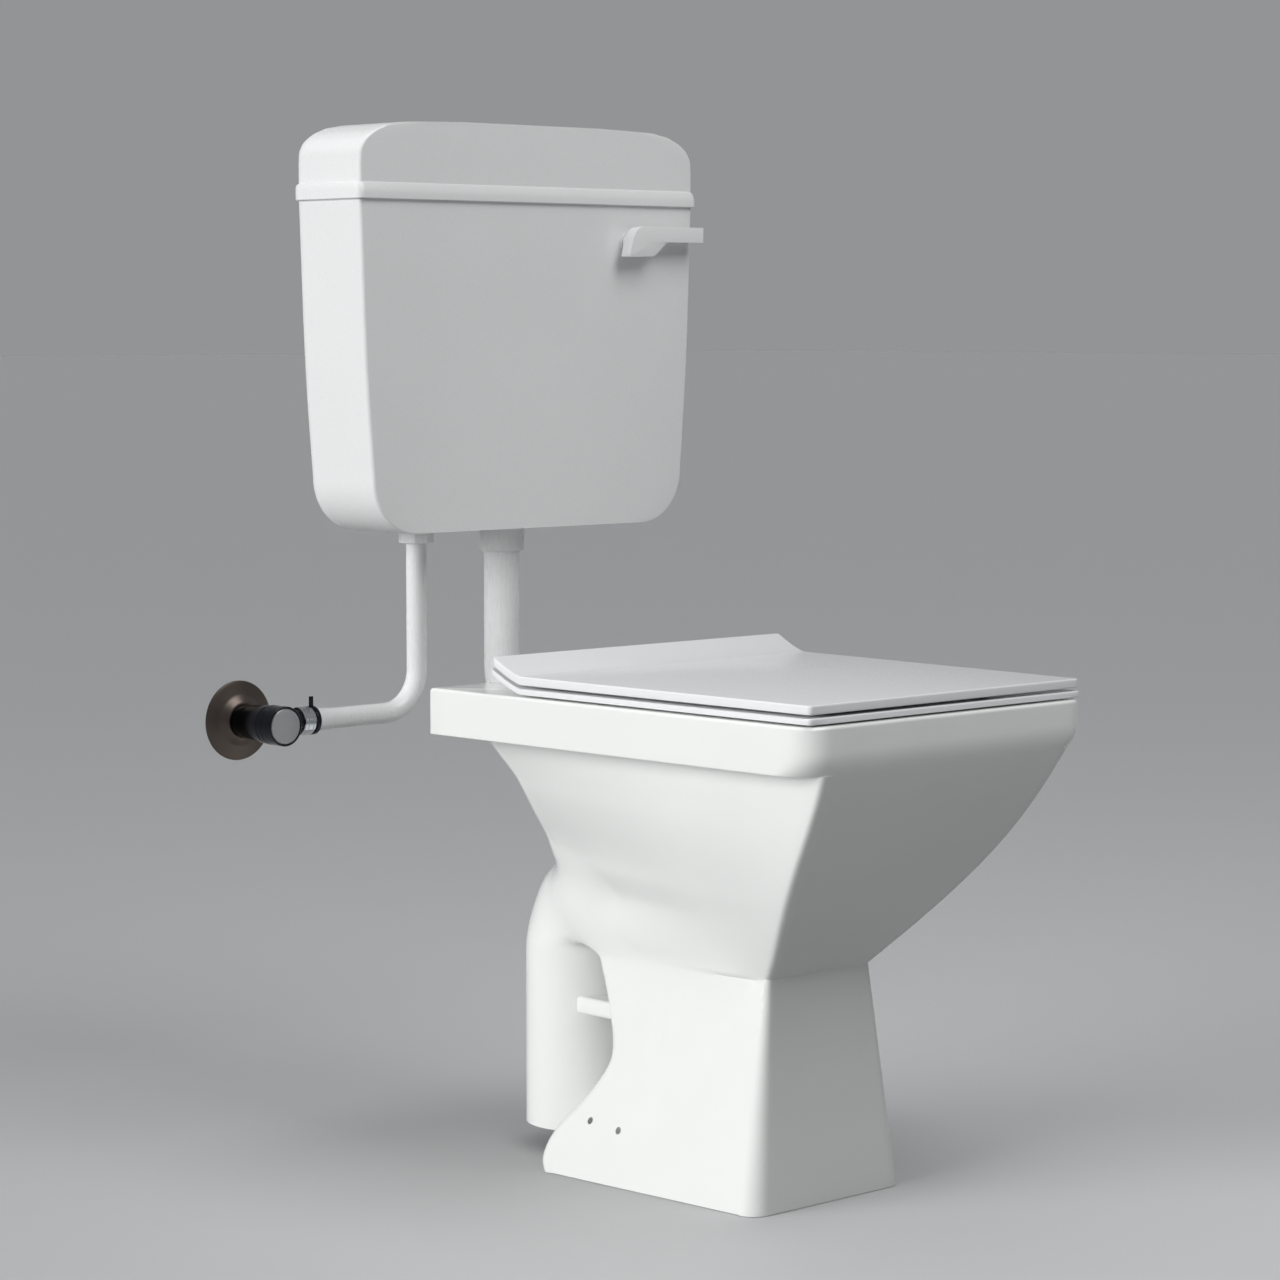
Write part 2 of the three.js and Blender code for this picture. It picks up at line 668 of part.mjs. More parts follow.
function panBody() {
  const levels = bodyLevelShares.map((share) => share * slabFootZ);
  levels.push(slabFootZ + weld);
  const body = loft(levels.map((z) => ring(bodyHalf(Math.min(z, slabFootZ)), z)));
  const leg = pipe(trapPath(legFootZ).slice(0, -3), legRadius, 0, 13, 18);
  const horn = alongY(disc(hornRadius, headBackY * 0.9, panLength - weld), 0, 0, inletZ);
  const bar = box(
    -tieBarHalfWidth, tieBarHalfWidth, tieBarFrontY, tieBarBackY,
    tieBarZ - tieBarDepth / 2, tieBarZ + tieBarDepth / 2,
  );
  const outside = joined(body, rimSlab(), leg, horn, bar);

  const foot = bodyHalf(0);
  const innerHalf = (draft) =>
    halfRectangle(
      foot[2][0] - footWall - draft, heelHalfWidth - footWall - draft,
      foot[0][1] + footWall + draft, heelY - footWall - draft * 2, creaseRadiusToe / 2, heelRadius,
    );
  const footHollow = loft([
    ring(innerHalf(0), -overrun),
    ring(innerHalf(0), 0),
    ring(innerHalf(footHollowDraft), footHollowHeight),
  ]);
  const mouthRing = (out, z) => ring(openingHalf(out), z);
  const mouth = loft([
    mouthRing(0, slabFootZ - weld),
    mouthRing(0, rimTopZ - rimMouthChamfer * 2),
    mouthRing(rimMouthChamfer / 4, rimTopZ - rimMouthChamfer),
    mouthRing(rimMouthChamfer, rimTopZ),
    mouthRing(rimMouthChamfer, rimTopZ + overrun),
  ]);
  const channelTop = rimTopZ - rimChannelRoof;
  const channelFloor = slabFootZ + rimChannelFloor;
  const channelOutline = halfRectangle(
    rimHalfWidth - rimWall, rimHalfWidth - rimWall, rimWall + slabFrontRun, rimOpeningBackY + rimWall * 2,
    rimCornerRadius, rimOpeningBackRadius,
  );
  const channelOut = solid(prism(channelOutline, channelFloor, channelTop));
  const channel = channelOut.subtract(solid(prism(openingHalf(rimLip), 0, rimTopZ)));
  const waterway = pipe(trapPath(legFootZ - overrun), trapBoreRadius, 0, 18, 14);
  const inlet = disc(hornBoreRadius, rimOpeningBackY + rimLip + weld, panLength + overrun);
  const pockets = [-1, 1].flatMap((side) => [
    disc(fixingHoleRadius, deckFootZ - overrun, rimTopZ + overrun, side * fixingX, fixingY, smallSides),
    box(
      side * fixingX - nutPocketWidth / 2, side * fixingX + nutPocketWidth / 2,
      nutPocketFrontY, panLength + overrun,
      deckFootZ - nutPocketDepth, deckFootZ,
    ),
    screwHole(side, screwHoleFrontY),
    screwHole(side, screwHoleBackY),
  ]);
  const hollowed = outside.subtract(channel);
  return surface(
    cut(hollowed, bowl(), mouth, waterway, footHollow, alongY(inlet, 0, 0, inletZ), ...pockets),
  );
}
part('pan_body', panBody(), glaze);

// Thin sheet from front to back that sweeps up at its back edge, with chamfered edges
function sweptSheet(bottom, thickness, inset) {
  const rise = (y) => sweepRise * Math.max((y - sweepStartY) / (seatBackY - sweepStartY), 0) ** 1.3;
  const [frontY, backY] = [seatFrontY + inset, seatBackY - inset];
  const sweep = backY - sweepStartY;
  const corner = edgeChamfer * 3;
  const stations = [
    [frontY, corner], [frontY + edgeChamfer, edgeChamfer], [frontY + corner, 0], [sweepStartY, 0],
    [sweepStartY + sweep / 4, 0], [sweepStartY + sweep / 2, 0], [backY - corner, 0],
    [backY, edgeChamfer],
  ];
  const rings = stations.map(([y, pinch], i) => {
    const along = (y - seatFrontY) / (seatBackY - seatFrontY);
    const half = THREE.MathUtils.lerp(seatFrontHalfWidth, seatBackHalfWidth, along) - inset - pinch;
    const ends = i === 0 || i === stations.length - 1 ? edgeChamfer : 0;
    const [low, high] = [bottom + rise(y) + ends, bottom + thickness + rise(y) - ends];
    const edge = edgeChamfer;
    return [
      [-half + edge, low], [half - edge, low], [half, low + edge / 2], [half, high - edge],
      [half - edge, high], [-half + edge, high], [-half, high - edge], [-half, low + edge / 2],
    ].map(([x, z]) => at(x, y, z));
  });
  return loft(rings.reverse());
}

// Arm from the back edge of a sheet to its knuckle on the hinge pin
function knuckle(side, centreX, sheetZ, sheetThickness) {
  const half = knuckleLength / 2;
  const outer = disc(knuckleRadius, -half, half);
  const reach = seatBackY - edgeChamfer * 5;
  const profile = new THREE.Shape([
    new THREE.Vector2(reach, sheetZ + edgeChamfer),
    new THREE.Vector2(seatBackY + gap * 2, sheetZ + edgeChamfer),
    new THREE.Vector2(hingeY, hingeZ - knuckleRadius / 2),
    new THREE.Vector2(hingeY + knuckleRadius / 2, hingeZ + knuckleRadius / 2),
    new THREE.Vector2(reach, sheetZ + sheetThickness - edgeChamfer),
  ]);
  const web = new THREE.ExtrudeGeometry(profile, { depth: knuckleLength, bevelEnabled: false });
  web.rotateX(Math.PI / 2).rotateZ(Math.PI / 2).translate(side * centreX - half, 0, 0);
  return [alongX(outer, side * centreX, hingeY, hingeZ), web];
}
const pinHole = (side, centreX) =>
  alongX(disc(pinRadius + pinClearance, -barrelLength, barrelLength), side * centreX, hingeY, hingeZ);

const seatKnuckleX = fixingX - barrelLength / 2 - knuckleSpace - knuckleLength / 2;
const lidKnuckleX = fixingX + barrelLength / 2 + knuckleSpace + knuckleLength / 2;
const bumperHole = (x, y, low, high) =>
  disc(bumperRadius + bumperPlay, low, high, x, y, smallSides);
const fourCorners = (x, frontY, backY) => [
  ['front_left', -x, frontY], ['front_right', x, frontY],
  ['back_left', -x, backY], ['back_right', x, backY],
];
const seatBumpers = fourCorners(seatBumperX, seatBumperFrontY, seatBumperBackY);
const lidBumpers = fourCorners(lidBumperX, lidBumperFrontY, lidBumperBackY);

function seatRing() {
  const endRise = sweepRise;
  const parts = [-1, 1].flatMap((s) => knuckle(s, seatKnuckleX, seatBottomZ + endRise * 0.8, seatThickness));
  const hole = halfRectangle(
    seatHoleHalfWidth, seatHoleHalfWidth, seatHoleFrontY, seatHoleBackY,
    seatHoleFrontRadius, seatHoleBackRadius, 5,
  );
  const through = prism(hole, seatBottomZ - overrun, seatTopZ + overrun);
  const pockets = seatBumpers.map(([, x, y]) =>
    bumperHole(x, y, seatBottomZ - overrun, seatBottomZ + bumperPocket));
  const sheet = joined(sweptSheet(seatBottomZ, seatThickness, 0), ...parts);
  return surface(cut(sheet, through, ...pockets, pinHole(-1, seatKnuckleX), pinHole(1, seatKnuckleX)));
}
part('seat_ring', seatRing(), seatPlastic);

function seatLid() {
  const parts = [-1, 1].flatMap((s) => knuckle(s, lidKnuckleX, lidBottomZ + sweepRise * 0.8, lidThickness));
  const pockets = lidBumpers.map(([, x, y]) =>
    bumperHole(x, y, lidBottomZ - overrun, lidBottomZ + bumperPocket));
  const sheet = joined(sweptSheet(lidBottomZ, lidThickness, lidInset), ...parts);
  return surface(cut(sheet, ...pockets, pinHole(-1, lidKnuckleX), pinHole(1, lidKnuckleX)));
}
part('seat_lid', seatLid(), seatPlastic);

for (const [corner, x, y] of seatBumpers) {
  const shape = disc(bumperRadius, rimTopZ + gap, seatBottomZ + bumperPocket - gap, x, y, smallSides);
  part(`seat_bumper_${corner}`, shape, greyRubber);
}
for (const [corner, x, y] of lidBumpers) {
  const shape = disc(bumperRadius, seatTopZ + gap, lidBottomZ + bumperPocket - gap, x, y, smallSides);
  part(`lid_bumper_${corner}`, shape, greyRubber);
}

// One hinge: post with its barrel on the deck, pin, stud, washer and wing nut under the deck
function hinge(side, name) {
  const x = side * fixingX;
  const footTop = rimTopZ + gap + hingeFootHeight;
  const foot = turned([
    [0, rimTopZ + gap], [hingeFootRadius, rimTopZ + gap],
    [hingeFootRadius, footTop - edgeChamfer], [hingeFootRadius - edgeChamfer, footTop], [0, footTop],
  ], x, fixingY);
  const half = barrelLength / 2;
  const barrel = alongX(disc(knuckleRadius, -half, half), x, hingeY, hingeZ);
  const neck = box(
    x - half, x + half, hingeY - knuckleRadius, hingeY + knuckleRadius, footTop - weld, hingeZ,
  );
  const bore = alongX(disc(pinRadius + gap, -barrelLength, barrelLength), x, hingeY, hingeZ);
  const socket = disc(studRadius + gap, rimTopZ - overrun, rimTopZ + studSeat + gap, x, fixingY);
  part(`hinge_post_${name}`, surface(cut(joined(foot, barrel, neck), bore, socket)), plated);

  const reach = half + knuckleSpace + knuckleLength + pinRadius / 2;
  part(`hinge_pin_${name}`, alongX(disc(pinRadius, -reach, reach), x, hingeY, hingeZ), steel);
  const stud = disc(studRadius, studBottomZ, rimTopZ + studSeat, x, fixingY, smallSides);
  part(`hinge_stud_${name}`, stud, steel);

  const washerTop = rimTopZ - deckThickness - gap;
  const washerFoot = washerTop - rubberWasherHeight;
  const washer = turned([
    [studRadius + gap, washerFoot], [rubberWasherRadius * 0.75, washerFoot],
    [rubberWasherRadius, washerTop - rubberWasherHeight / 4], [rubberWasherRadius, washerTop],
    [studRadius + gap, washerTop], [studRadius + gap, washerFoot],
  ], x, fixingY, smallSides);
  part(`hinge_washer_${name}`, washer, sealRubber);

  const nutTop = washerFoot - gap;
  const wings = box(
    x - wingSpan, x + wingSpan, fixingY - wingThickness / 2, fixingY + wingThickness / 2,
    nutTop - wingNutHeight, nutTop - wingNutHeight / 4,
  );
  const nut = joined(disc(wingNutRadius, nutTop - wingNutHeight, nutTop, x, fixingY, smallSides), wings);
  const thread = disc(studRadius + gap, studBottomZ - overrun, nutTop + overrun, x, fixingY, smallSides);
  part(`wing_nut_${name}`, surface(cut(nut, thread)), fittingPlastic);
}
hinge(-1, 'left');
hinge(1, 'right');

// Cistern: half-width of the tank at one height, outside
const tankSides = [
  [cisternBottomZ + tankCornerRadius, tankLowHalfWidth], [tankMidZ, tankMidHalfWidth],
  [seamZ, tankTopHalfWidth],
];
const tankHalf = (half, inset, backInset = inset) =>
  halfRectangle(
    half - inset, half - inset, cisternFrontY + inset, wallY - backInset,
    Math.max(tankFrontEdge - inset, tankFrontEdge / 2), Math.max(tankBackEdge - inset, tankFrontEdge), 3,
  );

// Rings of the tank, moved inwards by a wall, up to the seam
function tankRings(inset) {
  const rings = [];
  const steps = 5;
  const radius = tankCornerRadius - inset;
  for (let i = 0; i <= steps; i += 1) {
    const angle = (i / steps) * (Math.PI / 2);
    const half = tankLowHalfWidth - tankCornerRadius + radius * Math.sin(angle) + inset;
    const z = cisternBottomZ + tankCornerRadius - radius * Math.cos(angle);
    rings.push(ring(tankHalf(half, inset), z));
  }
  const floor = cisternBottomZ + tankCornerRadius;
  for (const share of [0.17, 0.32, 0.6, 1]) {
    const z = THREE.MathUtils.lerp(floor, seamZ - gap, share);
    rings.push(ring(tankHalf(smooth(tankSides, z), inset), z));
  }
  return rings;
}

const outletHole = disc(tailRadius + gap, cisternBottomZ - overrun, tankFloorZ + overrun, 0, outletY);
const fillHole = disc(shankRadius + gap, cisternBottomZ - overrun, tankFloorZ + overrun, fillX, fillY);
const leverHole = alongY(
  disc(bushRadius + gap, cisternFrontY - overrun, cisternFrontY + tankWall + overrun), pivotX, 0, pivotZ,
);

// Tank: open at the top, with a thinner neck that the lid's band slips over
function cisternTank() {
  const neckBack = bandWall + gap;
  const neck = (z) => ring(tankHalf(tankTopHalfWidth, 0, neckBack), z);
  const outer = [...tankRings(0), neck(seamZ - gap), neck(tankCeilingZ)];
  const wall = tankWall;
  const inner = tankRings(wall);
  const top = tankHalf(tankTopHalfWidth, wall, neckBack + wall / 2);
  inner[inner.length - 1] = ring(top, seamZ - wall);
  inner.push(ring(top, tankCeilingZ + overrun));
  const body = solid(loft(outer)).subtract(solid(loft(inner)));
  return surface(cut(body, outletHole, fillHole, leverHole));
}
part('cistern_tank', cisternTank(), tankPlastic);

// Rows of [share of the height from the lid's shoulder to its top, share of the half-width]
const crownShares = [
  [0, 1], [0.35, 0.99], [0.6, 0.95], [0.78, 0.885], [0.9, 0.8], [0.965, 0.67], [1, 0.42],
];

// Lid: a proud band round the foot, sides that round over to a nearly flat top
function cisternLid() {
  const crownRings = (inset) =>
    crownShares.map(([share, width]) => {
      const z = THREE.MathUtils.lerp(lidShoulderZ, lidTopZ - inset, share);
      return ring(tankHalf(tankTopHalfWidth * width, inset), z);
    });
  const bandTop = seamZ + bandHeight;
  const body = loft([
    ring(tankHalf(tankTopHalfWidth, 0), seamZ + bandHeight / 2),
    ...crownRings(0),
  ]);
  const bandHalf = tankTopHalfWidth + bandProud;
  const bandOutline = halfRectangle(
    bandHalf, bandHalf, cisternFrontY - bandProud, wallY, tankFrontEdge + bandProud, tankBackEdge, 3,
  );
  const band = prism(bandOutline, seamZ, bandTop);
  const inside = loft([
    ring(tankHalf(tankTopHalfWidth, lidWall), seamZ - overrun),
    ...crownRings(lidWall),
  ]);
  const neckHalf = tankTopHalfWidth + bandProud - bandWall;
  const neckOutline = halfRectangle(
    neckHalf, neckHalf, cisternFrontY - gap, wallY - bandWall, tankFrontEdge, tankBackEdge, 3,
  );
  const neck = prism(neckOutline, seamZ - overrun, tankCeilingZ + gap);
  return surface(cut(joined(body, band), inside, neck));
}
part('cistern_lid', cisternLid(), tankPlastic);

// Flush valve: tail through the tank floor, flange, throat with its seat, cage, overflow socket
function flushValveBody() {
  const flangeFoot = tankFloorZ + washerThickness + gap * 2;
  const flangeTop = flangeFoot + valveFlangeHeight;
  const outer = throatRadius + throatWall;
  const shell = turned([
    [tailBore, tailFootZ], [tailRadius, tailFootZ], [tailRadius, flangeFoot],
    [valveFlangeRadius, flangeFoot], [valveFlangeRadius, flangeTop], [outer, flangeTop],
    [outer, seatRimZ], [throatRadius, seatRimZ], [throatRadius, flangeTop + throatWall],
    [tailBore, flangeFoot], [tailBore, tailFootZ],
  ], 0, outletY);
  const socketOuter = overflowRadius + gap + overflowSocketWall;
  const socketTop = overflowSocketZ + overflowSocketWall * 2;
  const socket = disc(socketOuter, flangeFoot, socketTop, overflowX, outletY);
  const bridge = box(
    overflowX, -throatRadius - throatWall / 2, outletY - overflowBore, outletY + overflowBore,
    flangeFoot, overflowSocketZ,
  );
  const barReach = outer - weld + cagePostDepth;
  const posts = [-1, 1].map((side) => {
    const [a, b] = [outletY + side * (outer - weld), outletY + side * barReach];
    return box(
      -cagePostWidth / 2, cagePostWidth / 2, Math.min(a, b), Math.max(a, b), flangeTop - weld, cageTopZ,
    );
  });
  const bar = box(
    -cagePostWidth, cagePostWidth, outletY - barReach, outletY + barReach, cageTopZ - cageBarHeight,
    cageTopZ,
  );
  const passageZ = (flangeFoot + overflowSocketZ) / 2;
  const body = joined(shell, socket, bridge, ...posts, bar);
  return surface(cut(
    body,
    disc(overflowRadius + gap, overflowSocketZ, socketTop + overrun, overflowX, outletY),
    disc(overflowBore, passageZ - overflowBore / 3, socketTop, overflowX, outletY),
    alongX(disc(overflowBore / 3, 0, -overflowX), overflowX, outletY, passageZ),
    disc(stemRadius + gap, cageTopZ - cageBarHeight - overrun, cageTopZ + overrun, 0, outletY, smallSides),
  ));
}
part('flush_valve_body', flushValveBody(), fittingPlastic);
part('flush_valve_washer', sleeve(
  tailRadius + gap, valveFlangeRadius, tankFloorZ + gap, tankFloorZ + gap + washerThickness, 0, outletY,
), sealRubber);
part('overflow_pipe', sleeve(
  overflowBore, overflowRadius, overflowSocketZ + gap, overflowTopZ, overflowX, outletY,
), fittingPlastic);

// Plug: a float on a rubber seal, with a stem whose window the lever's arm lifts
const plugFootZ = seatRimZ + gap + plugSealHeight + gap;
function flushPlug() {
  const plugTop = plugFootZ + plugHeight;
  const windowFoot = pivotZ - linkWindowHeight / 2;
  const headTop = pivotZ + linkWindowHeight / 2 + linkCheek;
  const float = turned([
    [0, plugFootZ], [plugRadius * 0.85, plugFootZ], [plugRadius, plugFootZ + plugHeight / 5],
    [plugRadius * 0.9, plugTop - plugHeight / 6], [stemRadius * 2, plugTop], [0, plugTop],
  ], 0, outletY);
  const spigot = disc(stemRadius * 2, seatRimZ, plugFootZ + weld, 0, outletY);
  const stem = disc(stemRadius, plugTop - weld, windowFoot - linkCheek + weld, 0, outletY, smallSides);
  const halfX = linkWindowWidth / 2;
  const halfY = armThickness / 2 + gap * 2 + linkCheek;
  const head = box(-halfX, halfX, outletY - halfY, outletY + halfY, windowFoot - linkCheek, headTop);
  const windowY = halfY - linkCheek;
  const window = box(
    -halfX - overrun, halfX + overrun, outletY - windowY, outletY + windowY, windowFoot,
    windowFoot + linkWindowHeight,
  );
  return surface(cut(joined(float, spigot, stem, head), window));
}
part('flush_plug', flushPlug(), darkFitting);
part('flush_plug_seal', sleeve(
  stemRadius * 2 + gap, plugSealRadius, seatRimZ + gap, seatRimZ + gap + plugSealHeight, 0, outletY,
), sealRubber);

// Flush lever: handle with a deeper hub, its boss and its spindle through the tank's front
function flushLever() {
  const corner = leverEdge * 3;
  const outline = new THREE.Shape([
    [leverHeelX, leverHubZ], [leverChinX, leverHubZ + leverEdge], [leverNeckX, leverHandleZ],
    [leverTipX, leverHandleZ], [leverTipX, leverTopZ], [leverHeelX + leverHeelSlant + corner, leverTopZ],
    [leverHeelX + leverHeelSlant, leverTopZ - leverEdge],
    [leverHeelX + leverHeelSlant - corner, leverTopZ - corner * 2],
  ].map(([x, z]) => new THREE.Vector2(x, z)));
  const plate = new THREE.ExtrudeGeometry(outline, {
    depth: leverThickness - leverEdge * 2, bevelThickness: leverEdge, bevelSize: leverEdge,
    bevelOffset: -leverEdge, bevelSegments: 2,
  });
  plate.rotateX(Math.PI / 2).translate(0, leverFrontY + leverThickness - leverEdge, 0);
  const bossEnd = cisternFrontY - bushFlangeHeight - gap * 2;
  const bossStart = leverFrontY + leverThickness - weld;
  const boss = alongY(disc(leverBossRadius, bossStart, bossEnd), pivotX, 0, pivotZ);
  const spindleEnd = outletY + armHubLength / 2 + gap;
  const spindle = alongY(disc(spindleRadius, bossStart, spindleEnd, 0, 0, smallSides), pivotX, 0, pivotZ);
  return surface(joined(plate, boss, spindle));
}
part('flush_lever', flushLever(), tankPlastic);

function leverBush() {
  const face = cisternFrontY - gap;
  const nutEnd = cisternFrontY + tankWall + bushNutHeight + gap * 3;
  const bore = spindleRadius + gap;
  const profile = turned([
    [bore, face - bushFlangeHeight], [bushFlangeRadius, face - bushFlangeHeight], [bushFlangeRadius, face],
    [bushRadius, face], [bushRadius, nutEnd], [bore, nutEnd], [bore, face - bushFlangeHeight],
  ]);
  return alongY(profile, pivotX, 0, pivotZ);
}
part('lever_bush', leverBush(), tankPlastic);

// Hexagon nut between two heights, with a round bore
function hexNut(radius, bore, low, high) {
  return surface(cut(solid(disc(radius, low, high, 0, 0, 6)), disc(bore, low - overrun, high + overrun)));
}
const bushNutFoot = cisternFrontY + tankWall + gap;
part('lever_bush_nut', alongY(
  hexNut(bushNutRadius, bushRadius + gap, bushNutFoot, bushNutFoot + bushNutHeight), pivotX, 0, pivotZ,
), fittingPlastic);

// Lifting arm on the spindle, through the window in the plug's stem
function leverArm() {
  const half = armHubLength / 2;
  const hub = alongY(disc(armHubRadius, outletY - half, outletY + half), pivotX, 0, pivotZ);
  const blade = box(
    -armReachPast, pivotX, outletY - armThickness / 2, outletY + armThickness / 2,
    pivotZ - armHeight / 2, pivotZ + armHeight / 2,
  );
  const bore = alongY(
    disc(spindleRadius + gap, outletY - armHubLength, outletY + armHubLength, 0, 0, smallSides),
    pivotX, 0, pivotZ,
  );
  return surface(cut(joined(hub, blade), bore));
}
part('lever_arm', leverArm(), darkFitting);

// Fill valve: threaded shank, flange and column with a stop for the float, and its head
const fillFlangeFoot = tankFloorZ + washerThickness + gap * 2;
const shankFootZ = cisternBottomZ - shankLength;
const capFootZ = fillHeadZ + fillHeadHeight + gap;
function fillValveBody() {
  const flangeTop = fillFlangeFoot + fillFlangeHeight;
  const headTop = fillHeadZ + fillHeadHeight;
  const column = turned([
    [shankBore, shankFootZ], [shankRadius, shankFootZ], [shankRadius, fillFlangeFoot],
    [fillFlangeRadius, fillFlangeFoot], [fillFlangeRadius, flangeTop], [columnRadius, flangeTop],
    [columnRadius, columnStopZ], [columnStopRadius, columnStopZ],
    [columnStopRadius, columnStopZ + columnStopHeight], [columnRadius, columnStopZ + columnStopHeight],
    [columnRadius, fillHeadZ], [fillHeadRadius, fillHeadZ], [fillHeadRadius, headTop],
    [capSpigotRadius + gap, headTop], [capSpigotRadius + gap, headTop - capSpigotHeight],
    [shankBore, headTop - capSpigotHeight - shankBore], [shankBore, shankFootZ],
  ], fillX, fillY);
  const spout = disc(shankBore * 2, fillY - fillHeadRadius - shankBore, fillY, 0, 0, smallSides);
  const spoutBore = disc(shankBore, fillY - fillHeadRadius * 2, fillY, 0, 0, smallSides);
  const spoutZ = fillHeadZ + fillHeadHeight / 2;
  const body = joined(column, alongY(spout, fillX, 0, spoutZ));
  return surface(cut(body, alongY(spoutBore, fillX, 0, spoutZ)));
}
part('fill_valve_body', fillValveBody(), fittingPlastic);
part('fill_valve_washer', sleeve(
  shankRadius + gap, fillFlangeRadius, tankFloorZ + gap, tankFloorZ + gap + washerThickness, fillX, fillY,
), sealRubber);

// Cap on the head, with two lugs that hold the float arm's pin
function fillCap() {
  const top = capFootZ + fillCapHeight;
  const plate = turned([
    [0, capFootZ - capSpigotHeight + gap], [capSpigotRadius, capFootZ - capSpigotHeight + gap],
    [capSpigotRadius, capFootZ], [fillCapRadius, capFootZ],
    [fillCapRadius, top - edgeChamfer], [fillCapRadius - edgeChamfer, top], [0, top],
  ], fillX, fillY);
  const inner = floatArmWidth / 2 + gap * 2;
  const lugs = [-1, 1].map((side) => {
    const [a, b] = [fillY + side * inner, fillY + side * (inner + floatLugWidth)];
    return box(
      floatArmPivotX - floatArmHubRadius, floatArmPivotX + floatArmHubRadius / 2, Math.min(a, b),
      Math.max(a, b), capFootZ + fillCapHeight / 2, floatArmZ + floatPinRadius * 2,
    );
  });
  const pinBore = disc(floatPinRadius + gap, fillY - fillCapRadius, fillY + fillCapRadius, 0, 0, smallSides);
  return surface(cut(joined(plate, ...lugs), alongY(pinBore, floatArmPivotX, 0, floatArmZ)));
}
part('fill_valve_cap', fillCap(), darkFitting);
const floatPinReach = floatArmWidth / 2 + gap * 2 + floatLugWidth;
part('float_arm_pin', alongY(
  disc(floatPinRadius, fillY - floatPinReach, fillY + floatPinReach, 0, 0, smallSides),
  floatArmPivotX, 0, floatArmZ,
), steel);

// Float arm over the cap: its free end rides on the tip of the float's rod
function floatArm() {
  const half = floatArmWidth / 2;
  const hub = disc(floatArmHubRadius, fillY - half, fillY + half, 0, 0, smallSides);
  const tip = floatRodX - floatArmHubRadius;
  const blade = box(
    tip, floatArmPivotX, fillY - half, fillY + half, floatArmZ - floatArmThickness / 2,
    floatArmZ + floatArmThickness / 2,
  );
  const bore = disc(floatPinRadius + gap, fillY - floatArmWidth, fillY + floatArmWidth, 0, 0, smallSides);
  return surface(cut(
    joined(alongY(hub, floatArmPivotX, 0, floatArmZ), blade),
    alongY(bore, floatArmPivotX, 0, floatArmZ),
  ));
}
part('float_arm', floatArm(), darkFitting);

// Float: an upturned cup round the column, with the rod that turns the arm
function floatCup() {
  const foot = columnStopZ + columnStopHeight + gap;
  const top = foot + floatHeight;
  const inner = columnRadius + floatPlay;
  const wall = floatWall;
  const cup = turned([
    [inner, foot], [inner + wall, foot], [inner + wall, top - wall], [floatRadius - wall, top - wall],
    [floatRadius - wall, foot], [floatRadius, foot], [floatRadius, top - wall],
    [floatRadius - wall, top], [inner, top], [inner, foot],
  ], fillX, fillY);
  const rodTop = floatArmZ - floatArmThickness / 2 - gap;
  const rod = disc(floatRodRadius, top - wall / 2, rodTop, floatRodX, fillY, smallSides);
  return surface(joined(cup, rod));
}
part('float_cup', floatCup(), pipePlastic);

// Flush pipe: down from the tank's tail, one bend, forward into the pan
const pipeTopZ = tailFootZ - flushSealHeight - gap * 2;
function flushPipe() {
  const corner = at(0, outletY - flushBendRadius, inletZ + flushBendRadius);
  const turn = bend(corner, Y, Z.clone().negate(), flushBendRadius, Math.PI / 2, 8);
  const points = [
    at(0, outletY, pipeTopZ), at(0, outletY, (pipeTopZ + corner.z) / 2), ...turn,
    at(0, (corner.y + flushPipeEndY) / 2, inletZ), at(0, flushPipeEndY, inletZ),
  ];
  const bore = flushPipeRadius - flushPipeWall;
  const collar = sleeve(
    bore + flushPipeWall / 2, tailRadius, pipeTopZ - flushCollarHeight, pipeTopZ, 0, outletY, roundSides,
  );
  return surface(joined(pipe(points, flushPipeRadius, bore, 10), collar));
}
part('flush_pipe', flushPipe(), pipePlastic);
part('flush_pipe_seal', sleeve(
  tailBore, tailRadius, tailFootZ - flushSealHeight - gap, tailFootZ - gap, 0, outletY,
), sealRubber);

// Coupling nut: tapered, with grip ribs, and a shoulder that lifts the pipe's collar
function couplingNut() {
  const top = cisternBottomZ - gap;
  const foot = top - couplingHeight;
  const shoulder = pipeTopZ - flushCollarHeight - gap;
  const inner = tailRadius + gap;
  const body = turned([
    [flushPipeRadius + gap, foot], [couplingRadius, foot],
    [couplingRadius + couplingTaper, foot + couplingShoulder],
    [couplingRadius + couplingTaper, top], [inner, top], [inner, shoulder], [flushPipeRadius + gap, shoulder],
    [flushPipeRadius + gap, foot],
  ], 0, outletY, couplingRibs * 2);
  const grooves = [];
  for (let i = 0; i < couplingRibs; i += 1) {
    const angle = ((i + 1 / 2) * 2 * Math.PI) / couplingRibs;
    const reach = couplingRadius + couplingTaper * 2;
    grooves.push(disc(
      couplingTaper * 1.6, foot + couplingShoulder * 1.5, top + overrun, reach * Math.cos(angle),
      outletY + reach * Math.sin(angle), 6,
    ));
  }
  return surface(cut(solid(body), ...grooves));
}
part('flush_coupling_nut', couplingNut(), pipePlastic);

// Rubber connector in the pan's flush inlet
function flushConnector() {
  const face = panLength + gap;
  const inner = flushPipeRadius + gap;
  const profile = turned([
    [inner, face - connectorLength], [hornBoreRadius - gap, face - connectorLength],
    [hornBoreRadius - gap, face], [connectorFlangeRadius, face],
    [connectorFlangeRadius - edgeChamfer, face + connectorFlangeDepth], [inner, face + connectorFlangeDepth],
    [inner, face - connectorLength],
  ]);
  return alongY(profile, 0, 0, inletZ);
}
part('flush_connector', flushConnector(), sealRubber);

